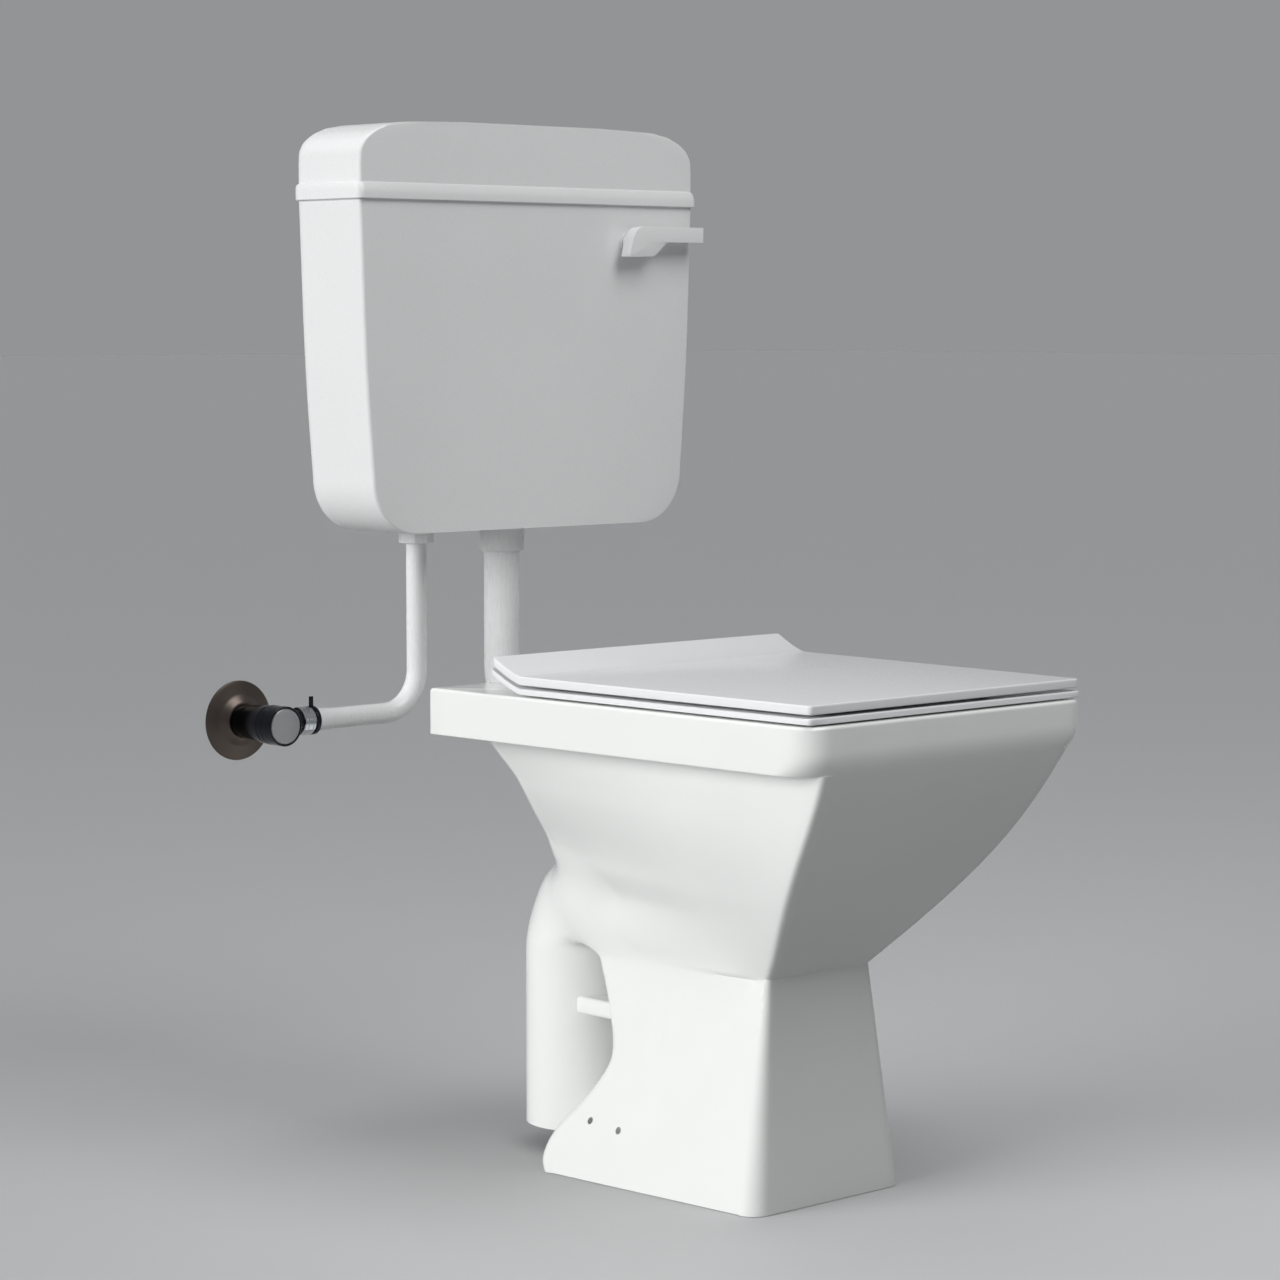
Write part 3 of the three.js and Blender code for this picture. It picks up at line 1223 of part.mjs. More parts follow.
// Inlet pipe: down from the fill valve, one bend, along the wall to the valve, flared at its end
function inletPipe() {
  const top = shankFootZ - gap;
  const corner = at(fillX - inletBendRadius, fillY, inletRunZ + inletBendRadius);
  const turn = bend(corner, X, Z.clone().negate(), inletBendRadius, Math.PI / 2, 8);
  const points = [
    at(fillX, fillY, top), at(fillX, fillY, (top + corner.z) / 2), ...turn,
    at((corner.x + inletRunEndX) / 2, fillY, inletRunZ), at(inletRunEndX, fillY, inletRunZ),
  ];
  const bore = inletPipeRadius - inletPipeWall;
  const flare = turned([
    [bore + inletPipeWall / 2, 0], [inletFlareRadius, 0], [inletPipeRadius, inletFlareLength],
    [bore + inletPipeWall / 2, inletFlareLength], [bore + inletPipeWall / 2, 0],
  ]);
  return surface(joined(
    pipe(points, inletPipeRadius, bore, 11, smallSides), alongX(flare, inletRunEndX, fillY, inletRunZ),
  ));
}
part('inlet_pipe', inletPipe(), pipePlastic);

function inletNut() {
  const top = cisternBottomZ - gap;
  const foot = top - inletNutHeight;
  const step = foot + inletNutRecess;
  return surface(cut(
    solid(disc(inletNutRadius, foot, top, fillX, fillY, 8)),
    disc(inletPipeRadius + gap, foot - overrun, step, fillX, fillY),
    disc(shankRadius + gap, step - overrun, top + overrun, fillX, fillY),
  ));
}
part('inlet_nut', inletNut(), pipePlastic);

// Angle valve: dished wall flange, body with a side outlet, spindle and quarter-turn knob
function wallFlange() {
  const back = wallY;
  const front = wallY - valveFlangeDepth;
  const bore = valveNeckRadius - gap * 2;
  const profile = turned([
    [bore, back], [bore, front], [valveNeckRadius + valveFlangeRim, front],
    [valveFlangeDishRadius, back - valveFlangeRim], [valveFlangeDishRadius, back], [bore, back],
  ], 0, 0, 24);
  return alongY(profile, angleValveX, 0, inletRunZ);
}
part('valve_wall_flange', wallFlange(), satinSteel);

const knobBackY = valveFaceY + valveKnobLength;
function angleValveBody() {
  const front = knobBackY + gap;
  const back = wallY - valveFlangeDepth - gap;
  const tail = valveNeckRadius - gap * 3;
  const body = turned([
    [0, front], [valveHeadRadius, front], [valveNeckRadius, back], [tail, back], [tail, wallY],
    [0, wallY],
  ]);
  const outletStart = angleValveX + valveHeadRadius / 2;
  const outletEnd = angleValveX + valveHeadRadius + valveOutletLength;
  const outlet = alongX(disc(valveOutletRadius, outletStart, outletEnd), 0, fillY, inletRunZ);
  const outletBore = alongX(
    disc(valveWaterway, angleValveX, outletEnd + overrun, 0, 0, smallSides), 0, fillY, inletRunZ,
  );
  const inletBore = alongY(
    disc(valveWaterway, fillY, wallY + overrun, 0, 0, smallSides), angleValveX, 0, inletRunZ,
  );
  const spindleBore = alongY(
    disc(valveSpindleRadius + gap, front - overrun, fillY, 0, 0, smallSides), angleValveX, 0, inletRunZ,
  );
  return surface(cut(
    joined(alongY(body, angleValveX, 0, inletRunZ), outlet), outletBore, inletBore, spindleBore,
  ));
}
part('angle_valve_body', angleValveBody(), darkPlated);

function valveKnob() {
  const edge = edgeChamfer;
  const seat = valveFaceY + valveCapThickness + gap;
  const knob = turned([
    [0, seat], [valveHeadRadius - valveCapRim, seat], [valveHeadRadius - valveCapRim, valveFaceY],
    [valveHeadRadius - edge / 2, valveFaceY], [valveHeadRadius, valveFaceY + edge / 2],
    [valveHeadRadius, knobBackY], [0, knobBackY],
  ], 0, 0, 20);
  const spindle = disc(
    valveSpindleRadius, knobBackY - weld, knobBackY + valveSpindleLength, 0, 0, smallSides,
  );
  return surface(joined(
    alongY(knob, angleValveX, 0, inletRunZ), alongY(spindle, angleValveX, 0, inletRunZ),
  ));
}
part('valve_knob', valveKnob(), darkPlated);
part('valve_knob_cap', alongY(
  disc(valveHeadRadius - valveCapRim - gap, valveFaceY, valveFaceY + valveCapThickness, 0, 0, 20),
  angleValveX, 0, inletRunZ,
), satinSteel);

// Nut on the valve's outlet, then the dark clamp ring with its ear round the pipe's flared end
const outletNutEnd = inletRunEndX - gap;
part('valve_outlet_nut', alongX(
  sleeve(valveOutletRadius + gap, valveOutletNutRadius, outletNutEnd - valveOutletNutLength, outletNutEnd),
  0, fillY, inletRunZ,
), plated);
function clampRing() {
  const start = inletRunEndX + clampLength / 4;
  const hoop = sleeve(inletFlareRadius + gap, clampRadius, start, start + clampLength);
  const ear = box(
    start, start + clampLength, fillY - clampEarThickness / 2, fillY + clampEarThickness / 2,
    inletRunZ + clampRadius - clampEarThickness, inletRunZ + clampRadius + clampEar,
  );
  return surface(joined(alongX(hoop, 0, fillY, inletRunZ), ear));
}
part('inlet_clamp', clampRing(), darkPlated);

toilet.position.y = -footReferenceY;
toilet.updateMatrixWorld(true);

export default toilet;
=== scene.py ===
"""A floor-standing wash-down toilet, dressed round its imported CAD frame.

The pan, its seat and lid, the wall cistern, and the pipework are each a class. Sizes are in
millimetres, counted along Y from the front of the rim, and turn to metres in the row frame when
a mesh is made.
"""

import json
import logging
import math
from collections.abc import Callable, Sequence
from dataclasses import dataclass
from enum import Enum
from functools import partial

import bmesh
import bpy
import numpy as np
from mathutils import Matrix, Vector
from mathutils.bvhtree import BVHTree
from mathutils.kdtree import KDTree

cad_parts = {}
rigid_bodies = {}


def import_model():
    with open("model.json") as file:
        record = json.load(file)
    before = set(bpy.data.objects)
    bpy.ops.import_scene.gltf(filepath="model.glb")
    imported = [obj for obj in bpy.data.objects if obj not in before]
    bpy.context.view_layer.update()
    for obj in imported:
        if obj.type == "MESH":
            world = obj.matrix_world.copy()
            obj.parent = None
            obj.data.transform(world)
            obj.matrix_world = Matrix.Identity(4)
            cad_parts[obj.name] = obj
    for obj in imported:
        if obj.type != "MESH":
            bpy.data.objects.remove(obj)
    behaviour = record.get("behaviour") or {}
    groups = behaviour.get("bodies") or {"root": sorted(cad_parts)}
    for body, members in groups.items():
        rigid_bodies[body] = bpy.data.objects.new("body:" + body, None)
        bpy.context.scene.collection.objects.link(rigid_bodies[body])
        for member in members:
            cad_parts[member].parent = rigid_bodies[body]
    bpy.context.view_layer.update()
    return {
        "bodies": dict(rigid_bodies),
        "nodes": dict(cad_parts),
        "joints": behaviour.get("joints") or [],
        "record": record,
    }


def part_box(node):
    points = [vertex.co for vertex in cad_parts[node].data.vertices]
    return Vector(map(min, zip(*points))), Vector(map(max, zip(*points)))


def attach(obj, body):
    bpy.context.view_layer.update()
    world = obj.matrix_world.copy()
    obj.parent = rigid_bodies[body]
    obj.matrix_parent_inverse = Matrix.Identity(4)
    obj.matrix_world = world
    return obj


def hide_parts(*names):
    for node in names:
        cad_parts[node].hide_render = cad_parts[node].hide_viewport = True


LOG = logging.getLogger("toilet")
MM = 0.001
QUARTER = math.pi / 2
DIAGONAL = math.sqrt(0.5)
# How far a cutter runs past the face it opens, and joined forms reach into each other
OVERRUN = 3.0
OVERLAP = 0.4
# Play between pieces that move or are fitted against each other
PLAY = 0.3
# Distance under which points of a new mesh become one
WELD = 0.01
# The colour sockets of a Mix node, which share their names with its number sockets
MIX_A, MIX_B, MIX_RESULT = 6, 7, 2

Array = np.ndarray
Place = tuple[float, float, float]
Outline = tuple[tuple[float, float], ...]


class Axis(Enum):
    """The direction that a turned piece stands along: which column is x, y and z."""

    X = [2, 0, 1]
    Y = [1, 2, 0]
    Z = [0, 1, 2]


class Cut(Enum):
    """What a tool does to the piece it meets."""

    JOIN = "UNION"
    REMOVE = "DIFFERENCE"


def rim_front() -> float:
    """Returns the place of the rim's front along Y in the row frame, in metres."""
    return float(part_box("pan_body")[0][1])


def linear(hex_colour: str) -> tuple[float, float, float, float]:
    """Turns an sRGB hex colour to the linear values that a shader takes.

    Args:
        hex_colour: six hex digits after a hash.

    Returns:
        Linear red, green and blue, and an alpha of one.
    """
    shares = [int(hex_colour[i : i + 2], 16) / 255 for i in (1, 3, 5)]
    red, green, blue = (
        s / 12.92 if s <= 0.04045 else ((s + 0.055) / 1.055) ** 2.4 for s in shares
    )
    return red, green, blue, 1.0


def hermite(rows: Sequence[tuple[float, float]], at: Array) -> Array:
    """Smooth curve through a table of (place, value) rows, with slopes from the neighbours.

    Args:
        rows: places in rising order with their values.
        at: places to read, any shape.

    Returns:
        The values at those places.
    """
    places, values = np.array(rows, dtype=float).T
    slopes = np.gradient(values, places)
    at = np.clip(at, places[0], places[-1])
    i = np.clip(np.searchsorted(places, at, side="right") - 1, 0, len(places) - 2)
    span = places[i + 1] - places[i]
    t = (at - places[i]) / span
    start = (1 + 2 * t) * (1 - t) ** 2 * values[i] + t * (1 - t) ** 2 * span * slopes[i]
    end = t**2 * (3 - 2 * t) * values[i + 1] + t**2 * (t - 1) * span * slopes[i + 1]
    return start + end


def swelled(share: Array, terms: tuple[float, ...]) -> Array:
    """A share from zero to one bent by a polynomial that is nothing at both ends.

    Args:
        share: values from zero to one.
        terms: factors of the rising powers of the share, times share times (1 - share).

    Returns:
        The share plus the bend.
    """
    return share + share * (1 - share) * sum(c * share**k for k, c in enumerate(terms))


def ease_in_out(value: Array, low: float, high: float) -> Array:
    """Goes from zero at low to one at high, flat at both."""
    t = np.clip((value - low) / (high - low), 0, 1)
    return t * t * (3 - 2 * t)


def softened(values: Array, spread: float) -> Array:
    """Weighted mean down the first axis, by a bell curve.

    Args:
        values: levels by points.
        spread: width of the bell curve, in levels.

    Returns:
        The softened values.
    """
    reach = int(spread * 3)
    weights = np.exp(-0.5 * (np.arange(-reach, reach + 1) / spread) ** 2)
    padded = np.concatenate([values[:1].repeat(reach, 0), values, values[-1:].repeat(reach, 0)])
    total = sum(w * padded[i : i + len(values)] for i, w in enumerate(weights))
    return total / weights.sum()


def soft_min(a: Array, b: Array, width: float) -> Array:
    """The smaller of two values, with the corner between them rounded over about width."""
    low = np.minimum(a, b)
    return low - width * np.log(np.exp((low - a) / width) + np.exp((low - b) / width))


def mix(start: float | Array, end: float | Array, share: Array) -> Array:
    """The value at a share of the way from start to end."""
    return start + (end - start) * share


def pair(x: Array, y: Array) -> Array:
    """Places in plan from their two coordinates."""
    return np.stack([x, y], axis=-1)


def bridge(a: Array, b: Array, count: int) -> Array:
    """Straight run from a to b along the last axis but one, without its end point."""
    t = np.linspace(0, 1, count, endpoint=False)[:, None]
    return a[..., None, :] * (1 - t) + b[..., None, :] * t


def arc(centre: Array, radius: Array, start: float, end: float, count: int) -> Array:
    """Arc in plan: the centre plus the radius times a turning spoke, without its end point.

    Args:
        centre: one for each level.
        radius: one for each level.
        start: first angle, in quarter turns.
        end: last angle, in quarter turns.
        count: number of points.

    Returns:
        Levels by points by two.
    """
    angle = np.linspace(start, end, count, endpoint=False) * QUARTER
    spokes = pair(np.cos(angle), np.sin(angle))
    return centre[..., None, :] + radius[..., None, None] * spokes


def quarter_round(radius: float, steps: int) -> tuple[Array, Array]:
    """Inset from the side and drop from the top along a rounded edge, from its foot up."""
    turn = np.linspace(0, QUARTER, steps)
    return radius * (1 - np.cos(turn)), radius * (1 - np.sin(turn))


def both_sides(half: Array) -> Array:
    """Makes a closed outline of a half one that runs from front centre to back centre.

    Args:
        half: levels by points by two, with the first and last point on the mid-plane.

    Returns:
        Levels by points by two, counter-clockwise seen from above.
    """
    other = half[..., -2:0:-1, :] * np.array([-1.0, 1.0])
    return np.concatenate([half, other], axis=-2)


def with_heights(outlines: Array, heights: Sequence[float] | Array) -> Array:
    """Stands outlines at heights: levels by points by two becomes by three.

    Args:
        outlines: one outline for each height, or one for them all.
        heights: the heights.

    Returns:
        The rings, as levels by points by three.
    """
    outlines = np.broadcast_to(outlines, (len(heights), *outlines.shape[1:]))
    z = np.broadcast_to(np.asarray(heights)[:, None, None], outlines.shape[:-1] + (1,))
    return np.concatenate([outlines, z], axis=-1)


@dataclass
class RoundedPlan:
    """A rounded rectangle in plan that may taper from front to back, at one or more levels."""

    front_half: float | Array
    back_half: float | Array
    front_y: float | Array
    back_y: float | Array
    front_radius: float | Array
    back_radius: float | Array
    straight: int = 6
    corner: int = 10

    def outlines(self) -> Array:
        """Straight runs joined by quarter arcs along one side, then mirrored.

        Returns:
            Levels by points by two.
        """
        sizes = (self.front_half, self.back_half, self.front_y, self.back_y,
                 self.front_radius, self.back_radius)
        front, back, y0, y1, r0, r1 = np.broadcast_arrays(
            *(np.atleast_1d(np.asarray(size, dtype=float)) for size in sizes)
        )
        zero = np.zeros_like(front)
        half = np.concatenate(
            [
                bridge(pair(zero, y0), pair(front - r0, y0), self.straight),
                arc(pair(front - r0, y0 + r0), r0, -1, 0, self.corner),
                bridge(pair(front, y0 + r0), pair(back, y1 - r1), self.straight * 2),
                arc(pair(back - r1, y1 - r1), r1, 0, 1, self.corner),
                bridge(pair(back - r1, y1), pair(zero, y1), self.straight),
                pair(zero, y1)[:, None, :],
            ],
            axis=-2,
        )
        return both_sides(half)

    def at(self, heights: Sequence[float] | Array) -> Array:
        """Rings of the outlines at heights."""
        return with_heights(self.outlines(), heights)


def to_row(points: Array) -> Array:
    """Millimetres from the front of the rim, to metres in the row frame."""
    return points * MM + np.array([0.0, rim_front(), 0.0])


def from_row(points: Array) -> Array:
    """Metres in the row frame, to millimetres from the front of the rim."""
    return (points - np.array([0.0, rim_front(), 0.0])) / MM


def add_object(name: str, data: bpy.types.ID) -> bpy.types.Object:
    """Links a new object to the scene, at the origin.

    Args:
        name: the object's name.
        data: its mesh, lamp or camera.

    Returns:
        The linked object.
    """
    made = bpy.data.objects.new(name, data)
    bpy.context.scene.collection.objects.link(made)
    return made


def mesh_object(name: str, points: Array, faces: list[tuple[int, ...]]) -> bpy.types.Object:
    """Puts points and faces into a new object at the origin, faces turned outwards.

    Args:
        name: the object's name.
        points: places in millimetres, one row each.
        faces: corner indices of each face.

    Returns:
        The linked object.
    """
    mesh = bpy.data.meshes.new(name)
    mesh.from_pydata(to_row(points), [], faces)
    shape = bmesh.new()
    shape.from_mesh(mesh)
    bmesh.ops.remove_doubles(shape, verts=shape.verts, dist=WELD * MM)
    bmesh.ops.dissolve_degenerate(shape, edges=shape.edges, dist=WELD * MM)
    bmesh.ops.recalc_face_normals(shape, faces=shape.faces)
    if shape.calc_volume(signed=True) < 0:
        bmesh.ops.reverse_faces(shape, faces=shape.faces)
    shape.to_mesh(mesh)
    shape.free()
    return add_object(name, mesh)


def loft(name: str, rings: Array, closed: bool = False) -> bpy.types.Object:
    """Closed surface through equal rings, levels by points by three.

    Args:
        name: the object's name.
        rings: the rings, in millimetres.
        closed: joins the last ring to the first; otherwise each end gets a fan to its middle.

    Returns:
        The linked object.
    """
    levels, count = rings.shape[:2]
    grid = np.arange(levels * count).reshape(levels, count)
    here = grid if closed else grid[:-1]
    after = np.roll(grid, -1, axis=0) if closed else grid[1:]
    corners = [here, np.roll(here, -1, axis=1), np.roll(after, -1, axis=1), after]
    faces = [tuple(quad) for quad in np.stack(corners, axis=-1).reshape(-1, 4).tolist()]
    points = rings.reshape(-1, 3)
    if not closed:
        low, high = len(points), len(points) + 1
        points = np.concatenate([points, rings[[0, -1]].mean(axis=1)])
        first, last = grid[0], grid[-1]
        faces += [(low, b, a) for a, b in zip(first.tolist(), np.roll(first, -1).tolist())]
        faces += [(high, a, b) for a, b in zip(last.tolist(), np.roll(last, -1).tolist())]
    return mesh_object(name, points, faces)


def turned(
    name: str,
    profile: Sequence[tuple[float, float]],
    place: Place = (0.0, 0.0, 0.0),
    axis: Axis = Axis.Z,
    sides: int = 64,
    closed: bool = False,
) -> bpy.types.Object:
    """Profile of (radius, height) turned about an axis through a place.

    Args:
        name: the object's name.
        profile: radius and height of each point, in millimetres.
        place: where the axis passes, with the heights added along it.
        axis: the direction of the heights.
        sides: points round each ring.
        closed: joins the last point to the first, for a piece with a bore.

    Returns:
        The linked object.
    """
    radius, height = np.array(profile, dtype=float).T[..., None]
    angle = np.linspace(0, 2 * np.pi, sides, endpoint=False)
    level = np.broadcast_to(height, (len(height), sides))
    ring = np.stack([radius * np.cos(angle), radius * np.sin(angle), level], axis=-1)
    return loft(name, ring[..., axis.value] + np.array(place), closed)


def shifted(outline: Outline, start: float) -> list[tuple[float, float]]:
    """An outline of (radius, distance) with its distances counted on from a start."""
    return [(radius, start + distance) for radius, distance in outline]


def rod(
    name: str,
    radius: float,
    start: float,
    end: float,
    place: Place = (0.0, 0.0, 0.0),
    axis: Axis = Axis.Z,
    sides: int = 64,
) -> bpy.types.Object:
    """Plain round rod between two heights along an axis, as turned takes them."""
    return turned(name, [(0, start), (radius, start), (radius, end), (0, end)], place, axis, sides)


def rounded(
    profile: Sequence[tuple[float, float]], radius: float, steps: int = 4
) -> list[tuple[float, float]]:
    """Softens each corner of an open or closed profile with a short quadratic curve.

    Args:
        profile: corners of the profile.
        radius: length taken off each side of a corner, less where a side is short.
        steps: points along each curve.

    Returns:
        The softened profile, ends kept where they are.
    """
    points = [np.array(p, dtype=float) for p in profile]
    out = [tuple(points[0])]
    for before, here, after in zip(points, points[1:], points[2:]):
        back, on = before - here, after - here
        reach = min(radius, np.linalg.norm(back) / 2.2, np.linalg.norm(on) / 2.2)
        start = here + back / np.linalg.norm(back) * reach
        end = here + on / np.linalg.norm(on) * reach
        for t in np.linspace(0, 1, steps + 1):
            out.append(tuple((1 - t) ** 2 * start + 2 * t * (1 - t) * here + t**2 * end))
    out.append(tuple(points[-1]))
    return out


def bend_path(corners: Sequence[Sequence[float]], radius: float, steps: int = 24) -> Array:
    """Straight runs between corners with a round bend of one radius at each inner corner.

    Args:
        corners: the corners, in millimetres, on a path whose turns are right angles.
        radius: radius of the bends' centre line.
        steps: points along each bend.

    Returns:
        Points along the path.
    """
    corners = [np.array(corner, dtype=float) for corner in corners]
    points = [corners[0]]
    for before, here, after in zip(corners, corners[1:], corners[2:]):
        back = (before - here) / np.linalg.norm(before - here)
        on = (after - here) / np.linalg.norm(after - here)
        centre = here + (back + on) * radius
        angle = np.linspace(0, QUARTER, steps)[:, None]
        points.extend(centre - on * radius * np.cos(angle) - back * radius * np.sin(angle))
    points.append(corners[-1])
    return np.array(points)


def tube(
    name: str,
    path: Array,
    radius: Array | float,
    bore: Array | float,
    sides: int = 48,
    side: Place = (1.0, 0.0, 0.0),
) -> bpy.types.Object:
    """Round pipe along a path that lies in one plane.

    Args:
        name: the object's name.
        path: points of the centre line.
        radius: outside radius, one value or one for each point.
        bore: inside radius; zero makes a solid rod.
        sides: points round the section.
        side: direction square to the plane of the path.

    Returns:
        The linked object: outer wall out, inner wall back, rims between them.
    """
    ahead = np.gradient(path, axis=0)
    ahead /= np.linalg.norm(ahead, axis=1, keepdims=True)
    across = np.broadcast_to(np.array(side), ahead.shape)
    up = np.cross(across, ahead)
    angle = np.linspace(0, 2 * np.pi, sides, endpoint=False)[None, :, None]
    spokes = np.cos(angle) * across[:, None] + np.sin(angle) * up[:, None]
    outer, inner = (
        path[:, None] + np.broadcast_to(size, (len(path),))[:, None, None] * spokes
        for size in (radius, bore)
    )
    if np.max(bore) <= 0:
        return loft(name, outer)
    return loft(name, np.concatenate([outer, inner[::-1]]), closed=True)


def block(
    name: str, low: Sequence[float], high: Sequence[float], edge: float
) -> bpy.types.Object:
    """Upright block with its edges eased by a bevel.

    Args:
        name: the object's name.
        low: its lowest corner.
        high: its highest corner.
        edge: width of the bevel.

    Returns:
        The linked object.
    """
    plan = [(low[0], low[1]), (high[0], low[1]), (high[0], high[1]), (low[0], high[1])]
    made = loft(name, with_heights(np.array([plan]), (low[2], high[2])))
    ease(made, edge)
    return made


def ease(piece: bpy.types.Object, width: float, segments: int = 3) -> None:
    """Rounds a piece's sharp edges by a bevel modifier, and keeps the result.

    Args:
        piece: the piece.
        width: of the bevel, in millimetres.
        segments: of the bevel.
    """
    bevel = piece.modifiers.new("eased_edges", "BEVEL")
    bevel.width = width * MM
    bevel.segments = segments
    bevel.limit_method = "ANGLE"
    bevel.angle_limit = math.radians(35)
    bake(piece)


def bake(piece: bpy.types.Object) -> None:
    """Replaces a piece's mesh with the result of its modifiers.

    Args:
        piece: the piece with its modifiers.
    """
    bpy.context.view_layer.update()
    graph = bpy.context.evaluated_depsgraph_get()
    mesh = bpy.data.meshes.new_from_object(piece.evaluated_get(graph))
    piece.modifiers.clear()
    old, piece.data = piece.data, mesh
    bpy.data.meshes.remove(old)


def shape_with(piece: bpy.types.Object, tools: Sequence[bpy.types.Object], cut: Cut) -> None:
    """Joins closed tools to a closed piece or takes them off it, and removes the tools.

    Args:
        piece: what is kept.
        tools: what it meets.
        cut: whether they are joined to it or taken off it.
    """
    for tool in tools:
        step = piece.modifiers.new("tool", "BOOLEAN")
        step.operation = cut.value
        step.solver = "MANIFOLD"
        step.object = tool
    bake(piece)
    for tool in tools:
        bpy.data.objects.remove(tool)


def mesh_gap(tree: BVHTree, points: Array) -> tuple[Array, Array]:
    """Distance of places from a closed mesh, below zero inside, and the way out from it.

    Args:
        tree: the mesh's faces, in the row frame.
        points: places in millimetres, one row each.

    Returns:
        The distances in millimetres, and a unit vector for each place.
    """
    gaps, ways = np.empty(len(points)), np.empty_like(points)
    for i, place in enumerate(to_row(points).tolist()):
        nearest, normal, _, distance = tree.find_nearest(place)
        away = Vector(place) - nearest
        side = 1.0 if away.dot(normal) >= 0 else -1.0
        gaps[i] = side * distance / MM
        ways[i] = normal if distance < 0.3 * MM else away * (side / distance)
    return gaps, ways


@dataclass
class CornerFill:
    """Fills the inner corner where two joined forms meet, as slip does in a mould.

    The two distances are joined by a smooth minimum, and the points near the corner settle on the
    surface where that is nothing. Between the steps they even out along it.

    Attributes:
        forms: give distance and way out of places, for each of the two forms.
        width: gives the width of the fill at places, in millimetres.
        zone: lowest place along Y, then lowest and highest height, in millimetres.
        reach: distance from the corner over which the fill fades.
        melt: heights between which the points start to flow together, then stop again.
        rounds: number of times the points settle.
        melts: number of times they flow together after that.
        merge: distance under which points become one before the fill, in millimetres.
        fold: least inward angle of an edge that counts as the corner, in radians.
        step: furthest that a point moves at once, in millimetres.
    """

    forms: tuple[Callable[[Array], tuple[Array, Array]], Callable[[Array], tuple[Array, Array]]]
    width: Callable[[Array], Array]
    zone: tuple[float, float, float]
    reach: float
    melt: tuple[float, float, float, float]
    rounds: int = 10
    melts: int = 130
    merge: float = 1.2
    fold: float = 0.3
    step: float = 6.0

    def corner(self, shape: bmesh.types.BMesh) -> KDTree:
        """Middles of the edges that fold inwards within the zone.

        Args:
            shape: the joined mesh, in the row frame.

        Returns:
            A tree of those middles.
        """
        low_y = self.zone[0] * MM + rim_front()
        low, high = (z * MM for z in self.zone[1:])
        inside = [
            edge
            for edge in shape.edges
            if len(edge.link_faces) == 2
            and edge.calc_face_angle_signed(0.0) < -self.fold
            and all(v.co.y > low_y and low < v.co.z < high for v in edge.verts)
        ]
        near = KDTree(len(inside))
        for i, edge in enumerate(inside):
            near.insert((edge.verts[0].co + edge.verts[1].co) / 2, i)
        near.balance()
        return near

    def settle(self, points: Array, size: Array) -> Array:
        """Moves places along the way out, onto where the smooth minimum is nothing.

        Args:
            points: places in millimetres.
            size: width of the fill at each.

        Returns:
            The moved places.
        """
        (gap_a, way_a), (gap_b, way_b) = (form(points) for form in self.forms)
        share = np.clip(0.5 + 0.5 * (gap_b - gap_a) / size, 0, 1)
        level = mix(gap_b, gap_a, share) - size * share * (1 - share)
        way = mix(way_b, way_a, share[:, None])
        way /= np.clip(np.linalg.norm(way, axis=1, keepdims=True), 0.4, None)
        return points - np.clip(level, -self.step, self.step)[:, None] * way

    def apply(self, piece: bpy.types.Object) -> None:
        """Fills the corner of a piece that is joined from the two forms.

        Args:
            piece: the joined piece.
        """
        shape = bmesh.new()
        shape.from_mesh(piece.data)
        bmesh.ops.remove_doubles(shape, verts=shape.verts, dist=self.merge * MM)
        bmesh.ops.dissolve_degenerate(shape, edges=shape.edges, dist=0.2 * MM)
        bmesh.ops.triangulate(shape, faces=shape.faces)
        near = self.corner(shape)
        points = from_row(np.array([v.co for v in shape.verts]))
        shape.verts.index_update()
        far = np.array([near.find(v.co)[2] for v in shape.verts]) / (self.reach * MM)
        chosen = np.flatnonzero(far < 1)
        fade = 1 - ease_in_out(far[chosen], 0.25, 1.0)
        size = np.clip(self.width(points[chosen]) * fade, 0.5, None)
        ends = np.array([[v.index for v in e.verts] for e in shape.edges])
        count = np.bincount(ends.ravel(), minlength=len(points))[:, None]

        def even(weight: Array) -> None:
            """Moves each chosen point towards the middle of its neighbours.

            Args:
                weight: share of the way, for each chosen point.
            """
            total = np.zeros_like(points)
            np.add.at(total, ends[:, 0], points[ends[:, 1]])
            np.add.at(total, ends[:, 1], points[ends[:, 0]])
            points[chosen] += (total / count - points)[chosen] * weight[:, None]

        for _ in range(self.rounds):
            even(fade * 0.5)
            for _ in range(2):
                points[chosen] = self.settle(points[chosen], size)
        height = points[chosen][:, 2]
        starts, stops = (ease_in_out(height, *self.melt[i : i + 2]) for i in (0, 2))
        for _ in range(self.melts):
            even(starts * (1 - stops) * fade * 0.6)
        for vert, place in zip(shape.verts, to_row(points)):
            vert.co = place
        shape.to_mesh(piece.data)
        shape.free()
        LOG.info("%s: inner corner filled, %d points moved", piece.name, len(chosen))


def shade(piece: bpy.types.Object, angle: float) -> None:
    """Smooth shading, with edges sharper than an angle in degrees kept crisp."""
    piece.data.polygons.foreach_set("use_smooth", [True] * len(piece.data.polygons))
    piece.data.set_sharp_from_angle(angle=math.radians(angle))


Values = dict[str | int, object]
Links = dict[str | int, bpy.types.NodeSocket]


def wire(tree: bpy.types.NodeTree, node: bpy.types.Node, values: Values, links: Links) -> None:
    """Sets a node's properties or inputs, and feeds inputs from sockets.

    Args:
        tree: the node tree.
        node: the node.
        values: a property or an input's value, by name or number, in order.
        links: the socket that feeds an input, by name or number.
    """
    for key, value in values.items():
        if isinstance(key, int) or key in node.inputs:
            node.inputs[key].default_value = value
        else:
            setattr(node, key, value)
    for key, socket in links.items():
        tree.links.new(socket, node.inputs[key])


